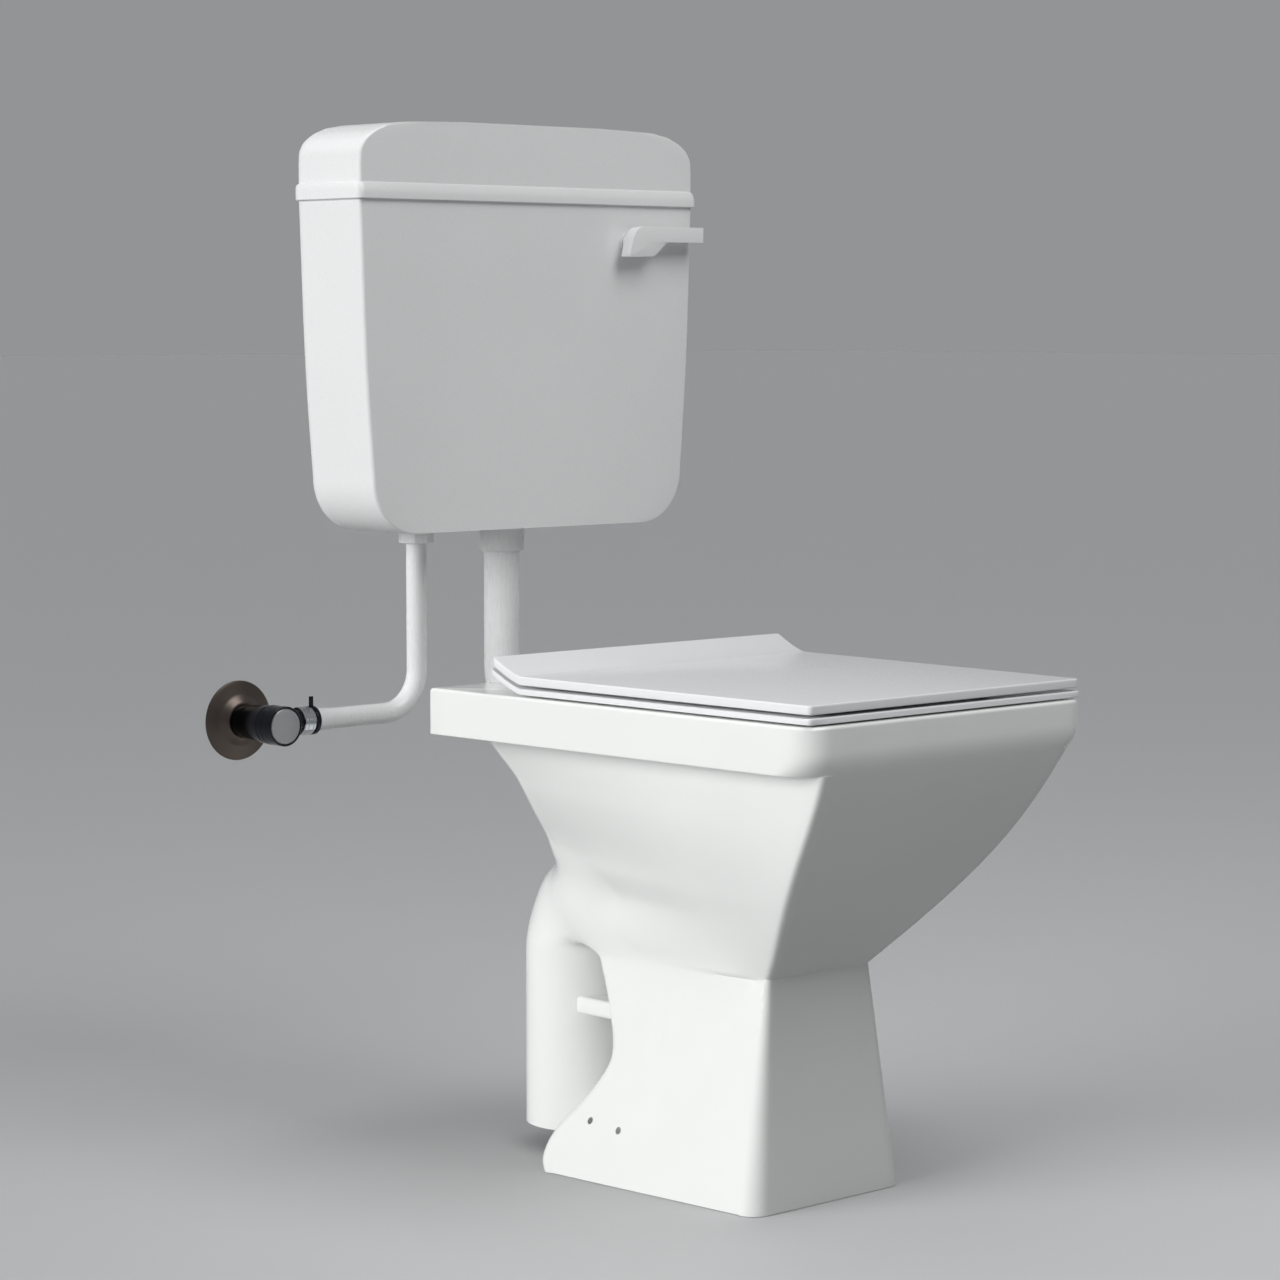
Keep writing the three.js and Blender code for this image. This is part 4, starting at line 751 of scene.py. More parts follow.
def add_node(
    tree: bpy.types.NodeTree,
    kind: str,
    result: str | int,
    values: Values | None = None,
    links: Links | None = None,
) -> bpy.types.NodeSocket:
    """Adds a node with its settings and links.

    Args:
        tree: the node tree.
        kind: the node's type, without its ShaderNode.
        result: the output that is wanted, by name or number.
        values: a property or an input's value, by name or number, in order.
        links: the socket that feeds an input, by name or number.

    Returns:
        That output of the new node.
    """
    new = tree.nodes.new(f"ShaderNode{kind}")
    wire(tree, new, values or {}, links or {})
    return new.outputs[result]


@dataclass(frozen=True)
class Finish:
    """A material, from what the real one is and how its surface was made.

    Attributes:
        name: the material's name.
        colour: sRGB hex of the clean surface.
        tint: sRGB hex that it drifts to in places.
        roughness: lowest and highest roughness over the surface.
        metallic: one for bare metal.
        ior: index of refraction of a non-metal.
        coat: weight of a clear layer on top, such as a glaze's.
        ripple_mm: wavelength of the surface's slow unevenness.
        ripple: its height in millimetres.
        grain_mm: size of the fine texture.
        grain: its height in millimetres.
        drawn: how many times longer the grain is along Z than across, for a brushed surface.
    """

    name: str
    colour: str
    tint: str
    roughness: tuple[float, float]
    metallic: float = 0.0
    ior: float = 1.5
    coat: float = 0.0
    ripple_mm: float = 60.0
    ripple: float = 0.0
    grain_mm: float = 2.0
    grain: float = 0.0
    drawn: float = 1.0

    def material(self) -> bpy.types.Material:
        """Returns the material, made once and then shared."""
        return bpy.data.materials.get(self.name) or self._make()

    def _make(self) -> bpy.types.Material:
        """Builds the node tree: drifting colour and roughness, slow ripple and fine grain.

        Returns:
            The new material.
        """
        made = bpy.data.materials.new(self.name)
        made.use_nodes = True
        tree = made.node_tree
        place = add_node(tree, "TexCoord", "Object")
        stretch = {"Scale": (1.0, 1.0, 1.0 / self.drawn)}
        stretched = add_node(tree, "Mapping", "Vector", stretch, {"Vector": place})
        noises = ((self.ripple_mm, 2.0, place), (self.grain_mm, 3.0, stretched))
        slow, fine = (
            add_node(tree, "TexNoise", "Fac", {"Scale": 1 / (size * MM), "Detail": detail},
                     {"Vector": vector})
            for size, detail, vector in noises
        )
        tones = {"data_type": "RGBA", MIX_A: linear(self.colour), MIX_B: linear(self.tint)}
        colour = add_node(tree, "Mix", MIX_RESULT, tones, {"Factor": slow})
        low, high = self.roughness
        spread = {"From Min": 0.3, "From Max": 0.7, "To Min": low, "To Max": high}
        rough = add_node(tree, "MapRange", "Result", spread, {"Value": fine})
        wave, bump = ({"Strength": 1.0, "Distance": h * MM} for h in (self.ripple, self.grain))
        waved = add_node(tree, "Bump", "Normal", wave, {"Height": slow})
        bumped = add_node(tree, "Bump", "Normal", bump, {"Height": fine, "Normal": waved})
        values = {"Metallic": self.metallic, "Coat Weight": self.coat, "Coat Roughness": 0.03}
        if not self.metallic:
            values["IOR"] = self.ior
        links = {"Base Color": colour, "Roughness": rough, "Normal": bumped}
        wire(tree, tree.nodes["Principled BSDF"], values, links)
        return made


# Vitreous china, slip-cast and fired with a white tin glaze: a clear glassy skin that pools a
# little, so reflections waver slowly over the face, with almost no grain
GLAZE = Finish(
    "vitreous_china_glaze", "#F4F5F3", "#EFF1EF", (0.05, 0.09), ior=1.52, coat=0.2,
    ripple_mm=70, ripple=0.10, grain_mm=5, grain=0.0035,
)
# Urea-formaldehyde, compression-moulded and polished: hard, flat, a shade cooler than the china
SEAT_MOULDING = Finish(
    "urea_seat_moulding", "#EEEFF0", "#E9EBEC", (0.16, 0.22), ior=1.55,
    ripple_mm=120, ripple=0.06, grain_mm=1.4, grain=0.002,
)
# ABS, injection-moulded: thin walls that draw in slightly, a softer gloss than the china
TANK_MOULDING = Finish(
    "abs_tank_moulding", "#EEEFEF", "#E8EAEA", (0.26, 0.34), ior=1.54,
    ripple_mm=90, ripple=0.16, grain_mm=1.2, grain=0.004,
)
# PVC-U pipe, extruded: faint lines along it
PIPE_EXTRUSION = Finish(
    "pvc_pipe_extrusion", "#EDEEEE", "#E6E8E8", (0.24, 0.32), ior=1.53,
    ripple_mm=30, ripple=0.05, grain_mm=0.9, grain=0.004, drawn=14,
)
# Acetal and polypropylene fittings, moulded and left matt
FITTING_MOULDING = Finish(
    "acetal_fitting_moulding", "#DFE2E4", "#D3D7DA", (0.42, 0.55), ior=1.48,
    ripple_mm=20, ripple=0.05, grain_mm=0.8, grain=0.01,
)
DARK_MOULDING = Finish(
    "black_acetal_moulding", "#3A3D42", "#2E3136", (0.42, 0.58), ior=1.48,
    ripple_mm=20, ripple=0.05, grain_mm=0.8, grain=0.012,
)
# EPDM seals, moulded: dull, with a dusty bloom
SEAL_RUBBER = Finish(
    "epdm_seal", "#1D1E20", "#2B2C2E", (0.68, 0.85), ior=1.52,
    ripple_mm=12, ripple=0.08, grain_mm=0.7, grain=0.03,
)
BUMPER_RUBBER = Finish(
    "grey_tpe_bumper", "#8B8D8F", "#7F8183", (0.6, 0.75), ior=1.5,
    ripple_mm=12, ripple=0.05, grain_mm=0.7, grain=0.02,
)
# Brass under bright chromium plate
CHROME = Finish(
    "chromium_plate", "#C9CCD0", "#C2C5CA", (0.06, 0.12), metallic=1,
    ripple_mm=15, ripple=0.01, grain_mm=1.0, grain=0.001,
)
# Black chromium plate: a smoky mirror
DARK_CHROME = Finish(
    "black_chromium_plate", "#34353A", "#2B2C31", (0.14, 0.24), metallic=1,
    ripple_mm=15, ripple=0.02, grain_mm=1.0, grain=0.002,
)
# Brass under satin chromium plate, brushed to a fine even grain
SATIN_CHROME = Finish(
    "satin_chromium_plate", "#A3A3A5", "#98989A", (0.34, 0.46), metallic=1,
    ripple_mm=25, ripple=0.01, grain_mm=0.5, grain=0.004,
)
# Stainless steel, spun and brushed. Its dark warm colour is a painted reflection of the room
SPUN_STEEL_PAINTED_REFLECTION = Finish(
    "spun_steel_painted_reflection", "#5F5752", "#544C47", (0.28, 0.42), metallic=1,
    ripple_mm=25, ripple=0.02, grain_mm=0.5, grain=0.004, drawn=10,
)
ZINC_STEEL = Finish(
    "zinc_plated_steel", "#B6B9BD", "#A7ABB0", (0.26, 0.4), metallic=1,
    ripple_mm=10, ripple=0.02, grain_mm=0.8, grain=0.006,
)

# The finish of each material slot in the record
SLOT_FINISHES = {
    "glazed_ceramic": GLAZE,
    "fitting_plastic": FITTING_MOULDING,
    "dark_plastic": DARK_MOULDING,
    "seal_rubber": SEAL_RUBBER,
    "grey_rubber": BUMPER_RUBBER,
    "chrome": CHROME,
    "dark_chrome": DARK_CHROME,
    "satin_steel": SPUN_STEEL_PAINTED_REFLECTION,
    "steel": ZINC_STEEL,
    "pipe_plastic": PIPE_EXTRUSION,
    "tank_plastic": TANK_MOULDING,
    "seat_plastic": SEAT_MOULDING,
}


def dress(
    piece: bpy.types.Object,
    node: str,
    slot: str,
    body: str = "pan",
    angle: float = 32.0,
    finish: Finish | None = None,
) -> None:
    """Gives a finished piece its shading, material, body and the node it stands for.

    Args:
        piece: the piece, in place.
        node: the CAD node it replaces.
        slot: the record's material slot.
        body: the CAD body it moves with.
        angle: edges sharper than this stay crisp, in degrees.
        finish: what it is made of, where that isn't the slot's own finish.
    """
    shade(piece, angle)
    piece.data.materials.clear()
    piece.data.materials.append((finish or SLOT_FINISHES[slot]).material())
    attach(piece, body)
    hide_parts(node)
    LOG.info("%s: %d faces on %s", piece.name, len(piece.data.polygons), body)


@dataclass
class Pan:
    """The vitreous china pan: rim slab, waisted body, bowl, trap and its leg."""

    # Rim slab and deck, whose front falls back over its foot
    rim_top: float = 415.4
    slab_depth: float = 39.0
    length: float = 438.0
    rim_half: float = 165.0
    deck_half: float = 175.0
    rim_corner: float = 27.0
    rim_corner_foot: float = 36.0
    deck_corner: float = 2.5
    slab_edge: float = 2.6
    front_run: float = 5.0
    front_drop: float = 20.0
    foot_ease: tuple[float, float] = (0.5, 0.15)
    foot_lift: float = 0.2
    edge_run: float = 0.8
    # Body: front creases at the waist, the slab and the floor, and the heel. At the slab they
    # stand where the body's front runs on from the slab's
    waist: float = 190.0
    waist_half: float = 59.0
    waist_front: float = 149.0
    head_half: float = 143.0
    head_front: float = 6.48
    toe_half: float = 85.0
    toe_front: float = 139.5
    heel_half: float = 104.0
    heel: float = 381.0
    crease_top: float = 5.0
    crease_toe: float = 18.0
    heel_radius: float = 13.0
    crease_width: tuple[float, ...] = (0.3705, 1.2453, -1.2371)
    crease_setback: tuple[float, ...] = (0.2695, 0.0849)
    levels: int = 84
    # Flanks: bulge above the waist, splay and ridge below it, then the hollows of the foot
    side_bulge: float = 8.0
    side_splay: float = 0.063
    ridge_softness: float = 2.2
    ridge_run: float = 0.62
    ridge_limits: tuple[float, float] = (0.001, 0.72)
    web_levels: float = 10.0
    web_reach: float = 95.0
    web_start: tuple[float, float] = (0.0, 0.22)
    dip: float = 4.5
    dip_start: float = 7.0
    dip_reach: float = 60.0
    dip_heights: tuple[float, float] = (45.0, 115.0)
    dent: float = 1.6
    dent_place: tuple[float, float] = (272.0, 133.0)
    dent_size: tuple[float, float] = (9.0, 22.0)
    # Heights between which the back turns into the leg, and how they melt together
    leg_end: tuple[float, float, float, float] = (187.0, 206.0, 206.0, 246.0)
    leg_round: tuple[float, float] = (236.0, 266.0)
    leg_inset: float = 6.0
    leg_melt: tuple[float, float, float, float] = (182.0, 200.0, 248.0, 280.0)
    fill_zone: tuple[float, float, float] = (345.0, 150.0, 345.0)
    fill_reach: float = 54.0
    fill_widths: tuple[float, float] = (14.0, 40.0)
    fill_heights: tuple[float, float] = (185.0, 222.0)
    # Rim opening, flush channel and bowl
    opening_half: float = 108.0
    opening_front: float = 42.0
    opening_back: float = 318.0
    opening_front_radius: float = 82.0
    opening_back_radius: float = 56.0
    lip: float = 9.0
    rim_wall: float = 14.0
    channel_roof: float = 13.0
    channel_floor: float = 5.0
    bowl_mouth_half: float = 131.0
    bowl_roundness: float = 0.98
    mouth_chamfer: float = 4.0
    sump_floor: float = 76.0
    # Trap and leg
    leg_y: float = 436.0
    leg_radius: float = 52.0
    leg_foot: float = 20.0
    bore: float = 37.0
    crown_radius: float = 75.0
    crown_z: float = 168.0
    crown_sweep: float = math.radians(155)
    sump_entry: float = 186.0
    sump_axis: float = 113.0
    # Inlet horn, the bar between foot and leg, and the hollow under the foot
    inlet_z: float = 368.0
    horn_start: float = 343.0
    horn_radius: float = 30.0
    horn_bore: float = 21.0
    horn_edge: float = 1.0
    bar_low: Place = (-40.0, 322.0, 124.5)
    bar_high: Place = (40.0, 404.0, 139.5)
    bar_edge: float = 3.0
    hollow_half: float = 63.0
    hollow_front: float = 149.5
    hollow_wall: float = 17.0
    hollow_depth: float = 60.0
    hollow_draft: float = 12.0
    # Seat bolts with their nut pockets, and floor screws as places along Y and heights
    bolt_x: float = 77.5
    bolt_y: float = 384.0
    bolt_radius: float = 7.0
    pocket_half: float = 21.0
    pocket_front: float = 364.0
    pocket_heights: tuple[float, float] = (328.4, 374.4)
    pocket_edge: float = 4.0
    screw_places: Outline = ((298.0, 54.5), (336.0, 58.0))
    screw_radius: float = 3.2
    screw_tilt: float = 0.5
    screw_reach: float = 52.0
    # Half-width and place of the back, as shares of the heel's, at shares of the slab's foot
    back_width: Outline = (
        (0, 1), (0.02, 0.98), (0.056, 0.916), (0.098, 0.85), (0.152, 0.757), (0.2, 0.7),
        (0.26, 0.654), (0.35, 0.607), (0.45, 0.556), (0.5, 0.518), (0.54, 0.5), (0.58, 0.506),
        (0.62, 0.535), (0.65, 0.563), (0.69, 0.631), (0.728, 0.705), (0.76, 0.788),
        (0.812, 0.942), (0.86, 1.077), (0.906, 1.183), (0.946, 1.274), (1, 1.39),
    )
    back_place: Outline = (
        (0, 1), (0.016, 1.01), (0.056, 1.016), (0.098, 0.997), (0.152, 0.953),
        (0.2, 0.916), (0.26, 0.882), (0.306, 0.882), (0.35, 0.895), (0.4, 0.913),
        (0.45, 0.937), (0.49, 0.966), (0.518, 1.018), (0.54, 1.081), (0.585, 1.097),
        (0.65, 1.094), (0.69, 1.084), (0.728, 1.066), (0.76, 1.058), (0.812, 1.047),
        (0.86, 1.038), (0.906, 1.04), (0.946, 1.056), (1, 1.08),
    )
    # The bowl's half-width, front and back as shares of its mouth, at shares of its height
    bowl_shares: tuple[tuple[float, ...], ...] = (
        (0, 0.16, 0.6, 0.695), (0.05, 0.25, 0.55, 0.735), (0.17, 0.29, 0.53, 0.745),
        (0.36, 0.35, 0.53, 0.752), (0.5, 0.48, 0.43, 0.79), (0.62, 0.66, 0.31, 0.865),
        (0.75, 0.84, 0.19, 0.955), (0.88, 0.95, 0.1, 1.02), (0.96, 0.99, 0.08, 1.05),
        (1, 1, 0.075, 1.06),
    )

    @property
    def slab_foot(self) -> float:
        """Height of the slab's underside."""
        return self.rim_top - self.slab_depth

    def creases(self, z: Array, rise: Array) -> tuple[Array, Array, Array]:
        """Rounding of the front creases: its centre's x and y, and its radius.

        Args:
            z: heights in millimetres.
            rise: their share of the way from the waist up to the slab.

        Returns:
            The three values at each height.
        """
        fall = np.clip((self.waist - z) / self.waist, 0, 1)
        below = z < self.waist
        x = np.where(
            below,
            mix(self.waist_half, self.toe_half, fall),
            mix(self.waist_half, self.head_half, swelled(rise, self.crease_width)),
        )
        y = np.where(
            below,
            mix(self.waist_front, self.toe_front, fall),
            mix(self.waist_front, self.head_front, swelled(rise, self.crease_setback)),
        )
        radius = mix(self.crease_top, self.crease_toe, fall)
        return x - radius * DIAGONAL, y + radius * DIAGONAL, radius

    def back_corners(self, z: Array) -> tuple[Array, Array, Array]:
        """The back's half-width, place and corner radius at each height.

        From the waist up the back follows the leg over the crown, and its corners widen to the
        leg's own roundness, so that the two run into each other.

        Args:
            z: heights in millimetres.

        Returns:
            The three values at each height.
        """
        share = z / self.slab_foot
        back_x = self.heel_half * hermite(self.back_width, share)
        back_y = self.heel * hermite(self.back_place, share)
        over = np.clip(z - self.crown_z, 0, self.crown_radius)
        leg_middle = self.leg_y - self.crown_radius + np.sqrt(self.crown_radius**2 - over**2)
        start = ease_in_out(z, *self.leg_end[:2])
        roundness = start * (1 - ease_in_out(z, *self.leg_round))
        radius = mix(self.heel_radius, self.leg_radius - self.leg_inset, roundness)
        carried = start * (1 - ease_in_out(z, *self.leg_end[2:]))
        return back_x, mix(back_y, leg_middle + radius, carried), radius

    def flanks(self, z: Array, rise: Array, front: Array, back: Array) -> Array:
        """Points of one side from crease to back at each height.

        Above the waist the side is one plane with a slight bulge. Below it a ridge runs down
        and back: the side is the lower of a plane that opens slightly towards the back and one
        that draws in from the ridge to the heel, with a shallow dip and a dent behind the ridge.

        Args:
            z: heights in millimetres, as a column.
            rise: their share of the way from the waist up to the slab, as a column.
            front: x and y where the side starts, and the crease's radius, each as a column.
            back: x and y where it ends, each as a column.

        Returns:
            Levels by points by two.
        """
        side_x, side_start, radius = front
        back_x, side_end = back
        run = np.linspace(0, 1, 56, endpoint=False)
        length = side_end - side_start
        y = side_start + length * run
        bulge = self.side_bulge * np.sin(np.pi * rise) * np.sin(np.pi * run)
        upper = mix(side_x, back_x, run) + bulge
        ridge = np.clip(
            ((self.waist - z) * self.ridge_run + radius) / length, *self.ridge_limits
        )
        front_plane = side_x + self.side_splay * length * run
        ridge_x = side_x + self.side_splay * length * ridge
        back_plane = back_x + (ridge_x - back_x) * (1 - run) / (1 - ridge)
        away = np.clip(y - (side_start + ridge * length), 0, None)
        low, high = self.dip_heights
        back_plane = back_plane - (
            self.dip
            * (1 - np.exp(-away / self.dip_start))
            * np.exp(-away / self.dip_reach)
            * np.clip((z - low) / (high - low), 0, 1)
        )
        below = z < self.waist
        flank = np.where(below, back_plane, upper)
        near_waist = np.exp(-(((z - self.waist) / self.web_reach) ** 2))
        web = ease_in_out(run, *self.web_start) * near_waist
        flank = mix(flank, softened(flank, self.web_levels), web)
        (dent_y, dent_z), (wide, tall) = self.dent_place, self.dent_size
        dent = np.exp(-(((y - dent_y) / wide) ** 2) - ((z - dent_z) / tall) ** 2)
        flank = flank - self.dent * dent
        folded = soft_min(front_plane, flank, self.ridge_softness)
        return pair(np.where(below, folded, flank), y)

    def body(self) -> bpy.types.Object:
        """Closed body from floor to slab, through one outline at each height.

        The outline runs round the front crease, along the flank and round the back's corner.

        Returns:
            The linked object.
        """
        t = np.linspace(0, 1, self.levels)
        z = np.concatenate([t * self.waist, mix(self.waist, self.slab_foot, t[1:])])
        rise = np.clip((z - self.waist) / (self.slab_foot - self.waist), 0, 1)
        cx, cy, radius = self.creases(z, rise)
        back_x, back_y, back_radius = self.back_corners(z)
        end_x, end_y = back_x - back_radius, back_y - back_radius
        front = np.stack([cx + radius, cy, radius])[..., None]
        back = np.stack([back_x, end_y])[..., None]
        zero = np.zeros_like(z)
        half = np.concatenate(
            [
                bridge(pair(zero, cy - radius), pair(cx, cy - radius), 12),
                arc(pair(cx, cy), radius, -1, 0, 9),
                self.flanks(z[:, None], rise[:, None], front, back),
                arc(pair(end_x, end_y), back_radius, 0, 1, 10),
                bridge(pair(end_x, back_y), pair(zero, back_y), 18),
                pair(zero, back_y)[:, None, :],
            ],
            axis=-2,
        )
        rings = with_heights(both_sides(half), z)
        cap = rings[-1:] + np.array([0.0, 0.0, OVERLAP])
        return loft("pan_china", np.concatenate([rings, cap]))

    def slab(self) -> bpy.types.Object:
        """Rim slab, whose front foot falls back and whose top edge is a quarter round.

        The front falls back by the square of the share of the way down, and the corners widen
        by its cube.

        Returns:
            The linked object.
        """
        down = np.linspace(1, 0, 14)
        fall = self.front_run * down**2
        corner = mix(self.rim_corner, self.rim_corner_foot, down**3)
        edge_inset, edge_drop = quarter_round(self.slab_edge, 8)
        # Three rings ease the foot, and one stands just under the rounded edge
        foot_inset = np.array([*self.foot_ease, 0.0])
        foot_rise = foot_inset[::-1]
        foot_fall = fall[0] - foot_rise * 2 * self.front_run / self.front_drop
        upright = np.zeros(1 + len(edge_inset))
        inset = np.concatenate([foot_inset, np.zeros(len(down) - 1), [0.0], edge_inset])
        back = np.concatenate([foot_fall, fall[1:], upright])
        corners = np.concatenate([np.full(3, corner[0]), corner[1:], upright + corner[-1]])
        heights = np.concatenate([
            self.slab_foot + foot_rise,
            self.slab_foot + self.front_drop * (1 - down[1:]) + self.foot_lift * down[1:],
            [self.rim_top - self.slab_edge - self.edge_run],
            self.rim_top - edge_drop,
        ])
        plan = RoundedPlan(
            self.rim_half - inset, self.deck_half - inset, back + np.where(back > 0, 0, inset),
            self.length - inset, corners, self.deck_corner, straight=10, corner=12,
        )
        return loft("rim_slab", plan.at(heights))

    def opening(self, out: Array | float, z: Sequence[float] | Array) -> Array:
        """Rings round the rim opening, moved outwards by a distance at each height."""
        return RoundedPlan(
            self.opening_half + out, self.opening_half + out,
            self.opening_front - out, self.opening_back + out,
            self.opening_front_radius + out, self.opening_back_radius + out, corner=20,
        ).at(z)

    def mouth(self) -> bpy.types.Object:
        """Cutter for the rim opening, flared by a quarter round at its top.

        Returns:
            The linked object.
        """
        flare, drop = quarter_round(self.mouth_chamfer, 8)
        out = np.concatenate([[0.0], flare, [self.mouth_chamfer]])
        low, high = self.slab_foot - OVERLAP, self.rim_top + OVERRUN
        return loft("mouth", self.opening(out, np.array([low, *(self.rim_top - drop), high])))

    def bowl(self) -> bpy.types.Object:
        """Cutter for the bowl: rounded outlines whose sizes are smooth curves of the height.

        Returns:
            The linked object.
        """
        table = np.array(self.bowl_shares)
        t = np.linspace(0, 1, 60)
        wide, near, deep = (hermite(table[:, [0, i]].tolist(), t) for i in (1, 2, 3))
        half = self.bowl_mouth_half * wide
        y0, y1 = self.opening_back * near, self.opening_back * deep
        widest = np.minimum(half, (y1 - y0) / 2)
        front_radius, back_radius = (
            mix(widest, np.minimum(widest, limit), t) * self.bowl_roundness
            for limit in (self.opening_front_radius, self.opening_back_radius)
        )
        plan = RoundedPlan(half, half, y0, y1, front_radius, back_radius, corner=20)
        top = self.slab_foot + self.channel_floor * 2
        return loft("bowl", plan.at(mix(self.sump_floor, top, t)))

    def channel(self) -> bpy.types.Object:
        """Cutter for the flush channel: the inside of the rim, less the wall of its opening.

        Returns:
            The linked object.
        """
        half = self.rim_half - self.rim_wall
        plan = RoundedPlan(
            half, half, self.rim_wall + self.front_run, self.opening_back + self.rim_wall * 2,
            self.rim_corner, self.opening_back_radius,
        )
        heights = (self.slab_foot + self.channel_floor, self.rim_top - self.channel_roof)
        outer = loft("channel", plan.at(heights))
        inner = loft("channel_inner", self.opening(self.lip, (0.0, self.rim_top)))
        shape_with(outer, [inner], Cut.REMOVE)
        return outer

    def trap_path(self, end: float, inside: bool) -> Array:
        """Centre line from the leg's foot over the crown, and on down into the sump.

        The leg is straight and the crown an arc. A cubic curve leaves along the arc and runs
        level into the sump.

        Args:
            end: height at which the leg starts.
            inside: carries the line on into the sump.

        Returns:
            Points on the mid-plane.
        """
        up = np.linspace(end, self.crown_z, 24, endpoint=False)
        leg = np.stack([np.zeros_like(up), np.full_like(up, self.leg_y), up], axis=-1)
        angle = np.linspace(0, self.crown_sweep, 60)
        crown = np.stack(
            [
                np.zeros_like(angle),
                self.leg_y - self.crown_radius + self.crown_radius * np.cos(angle),
                self.crown_z + self.crown_radius * np.sin(angle),
            ],
            axis=-1,
        )
        if not inside:
            return np.concatenate([leg, crown])
        start = crown[-1]
        drop = (start[2] - self.sump_axis) / 2
        knee = start + np.array([0.0, drop * math.tan(self.crown_sweep - math.pi), -drop])
        level = self.sump_axis - math.cos(self.crown_sweep - QUARTER)
        control = np.array([0.0, 2 * knee[1] - start[1], level])
        goal = np.array([0.0, self.sump_entry, self.sump_axis])
        t = np.linspace(0, 1, 30)[1:, None]
        curve = (1 - t) ** 3 * start + 3 * t * (1 - t) ** 2 * knee
        curve = curve + 3 * t**2 * (1 - t) * control + t**3 * goal
        return np.concatenate([leg, crown, curve])

    def leg_gap(self, points: Array) -> tuple[Array, Array]:
        """Distance of places from the leg's outside, and the way out from it.

        The nearest place on the leg's axis is on its arc over the crown, or straight below it.

        Args:
            points: places in millimetres, one row each.

        Returns:
            The distances, and a unit vector for each place.
        """
        middle = self.leg_y - self.crown_radius
        rise = points[:, 2] - self.crown_z
        spoke = pair(points[:, 1] - middle, np.clip(rise, 0, None))
        length = np.linalg.norm(spoke, axis=1, keepdims=True)
        spoke = spoke * self.crown_radius / np.clip(length, 1e-6, None)
        height = self.crown_z + np.minimum(rise, 0) + spoke[:, 1]
        axis = np.stack([np.zeros(len(points)), middle + spoke[:, 0], height], axis=-1)
        away = points - axis
        distance = np.linalg.norm(away, axis=1)
        return distance - self.leg_radius, away / distance[:, None]

    def fill_width(self, points: Array) -> Array:
        """Width of the fill between body and leg: small under the arch, wide at the flank."""
        return mix(*self.fill_widths, ease_in_out(points[:, 2], *self.fill_heights))

    def fill(self, piece: bpy.types.Object, leg: bpy.types.Object) -> None:
        """Joins the leg to the body and fills the corner between them.

        Args:
            piece: the body.
            leg: the leg, which is used up.
        """
        tree = BVHTree.FromPolygons(
            [v.co.copy() for v in piece.data.vertices],
            [tuple(face.vertices) for face in piece.data.polygons],
        )
        shape_with(piece, [leg], Cut.JOIN)
        CornerFill(
            (partial(mesh_gap, tree), self.leg_gap), self.fill_width, self.fill_zone,
            self.fill_reach, self.leg_melt,
        ).apply(piece)

    def horn(self) -> bpy.types.Object:
        """Inlet horn at the back, which the connector sits on.

        Returns:
            The linked object.
        """
        end, radius, edge = self.length - OVERLAP, self.horn_radius, self.horn_edge
        profile = [(0, self.horn_start), (radius, self.horn_start), (radius, end - edge),
                   (radius - edge, end), (0, end)]
        return turned("horn", profile, (0, 0, self.inlet_z), Axis.Y)

    def foot_hollow(self) -> bpy.types.Object:
        """Cutter for the open hollow under the foot, which draws in towards its roof.

        Returns:
            The linked object.
        """
        draft = self.hollow_draft * np.array([0.0, 0.0, 1.0])
        plan = RoundedPlan(
            self.hollow_half - draft, self.heel_half - self.hollow_wall - draft,
            self.hollow_front + draft, self.heel - self.hollow_wall - draft * 2,
            self.hollow_draft, self.heel_radius,
        )
        return loft("foot_hollow", plan.at((-OVERRUN, 0.0, self.hollow_depth)))

    def fixings(self) -> list[bpy.types.Object]:
        """Cutters for the seat bolts, their nut pockets and the floor screws.

        Returns:
            The linked objects.
        """
        tools = []
        low, high = self.pocket_heights
        for side in (-1, 1):
            x = side * self.bolt_x
            tools.append(rod("bolt_hole", self.bolt_radius, high - OVERRUN, self.rim_top + OVERRUN,
                             (x, self.bolt_y, 0), sides=40))
            tools.append(block("nut_pocket", (x - self.pocket_half, self.pocket_front, low),
                               (x + self.pocket_half, self.length + OVERRUN, high),
                               self.pocket_edge))
            tools += [self.screw_hole(side, y, z) for y, z in self.screw_places]
        return tools

    def screw_hole(self, side: int, y: float, z: float) -> bpy.types.Object:
        """Cutter for one floor screw, slanted down towards the middle.

        Args:
            side: minus one for the left, one for the right.
            y: its place on the flank.
            z: its height there.

        Returns:
            The linked object.
        """
        along = np.array([side * math.cos(self.screw_tilt), 0.0, math.sin(self.screw_tilt)])
        t = np.linspace(-self.screw_reach, self.screw_reach, 4)[:, None]
        path = np.array([side * self.heel_half, y, z]) + along * t
        return tube("screw_hole", path, self.screw_radius, 0, sides=28, side=(0.0, 1.0, 0.0))

    def build(self) -> None:
        """Makes the pan: outside forms joined, then hollows taken out."""
        piece = self.body()
        leg = tube("leg", self.trap_path(self.leg_foot, False), self.leg_radius, 0, sides=72)
        horn = self.horn()
        bar = block("bar", self.bar_low, self.bar_high, self.bar_edge)
        self.fill(piece, leg)
        shape_with(piece, [self.slab(), horn, bar], Cut.JOIN)
        shape_with(piece, [self.channel()], Cut.REMOVE)
        shape_with(piece, [self.bowl(), self.mouth()], Cut.REMOVE)
        trap = self.trap_path(self.leg_foot - OVERRUN, True)
        waterway = tube("waterway", trap, self.bore, 0, sides=56)
        inlet_start = self.opening_back + self.lip + OVERLAP
        inlet = rod("inlet", self.horn_bore, inlet_start, self.length + OVERRUN,
                    (0, 0, self.inlet_z), Axis.Y)
        shape_with(piece, [waterway, inlet, self.foot_hollow()], Cut.REMOVE)
        shape_with(piece, self.fixings(), Cut.REMOVE)
        dress(piece, "pan_body", "glazed_ceramic", angle=38)


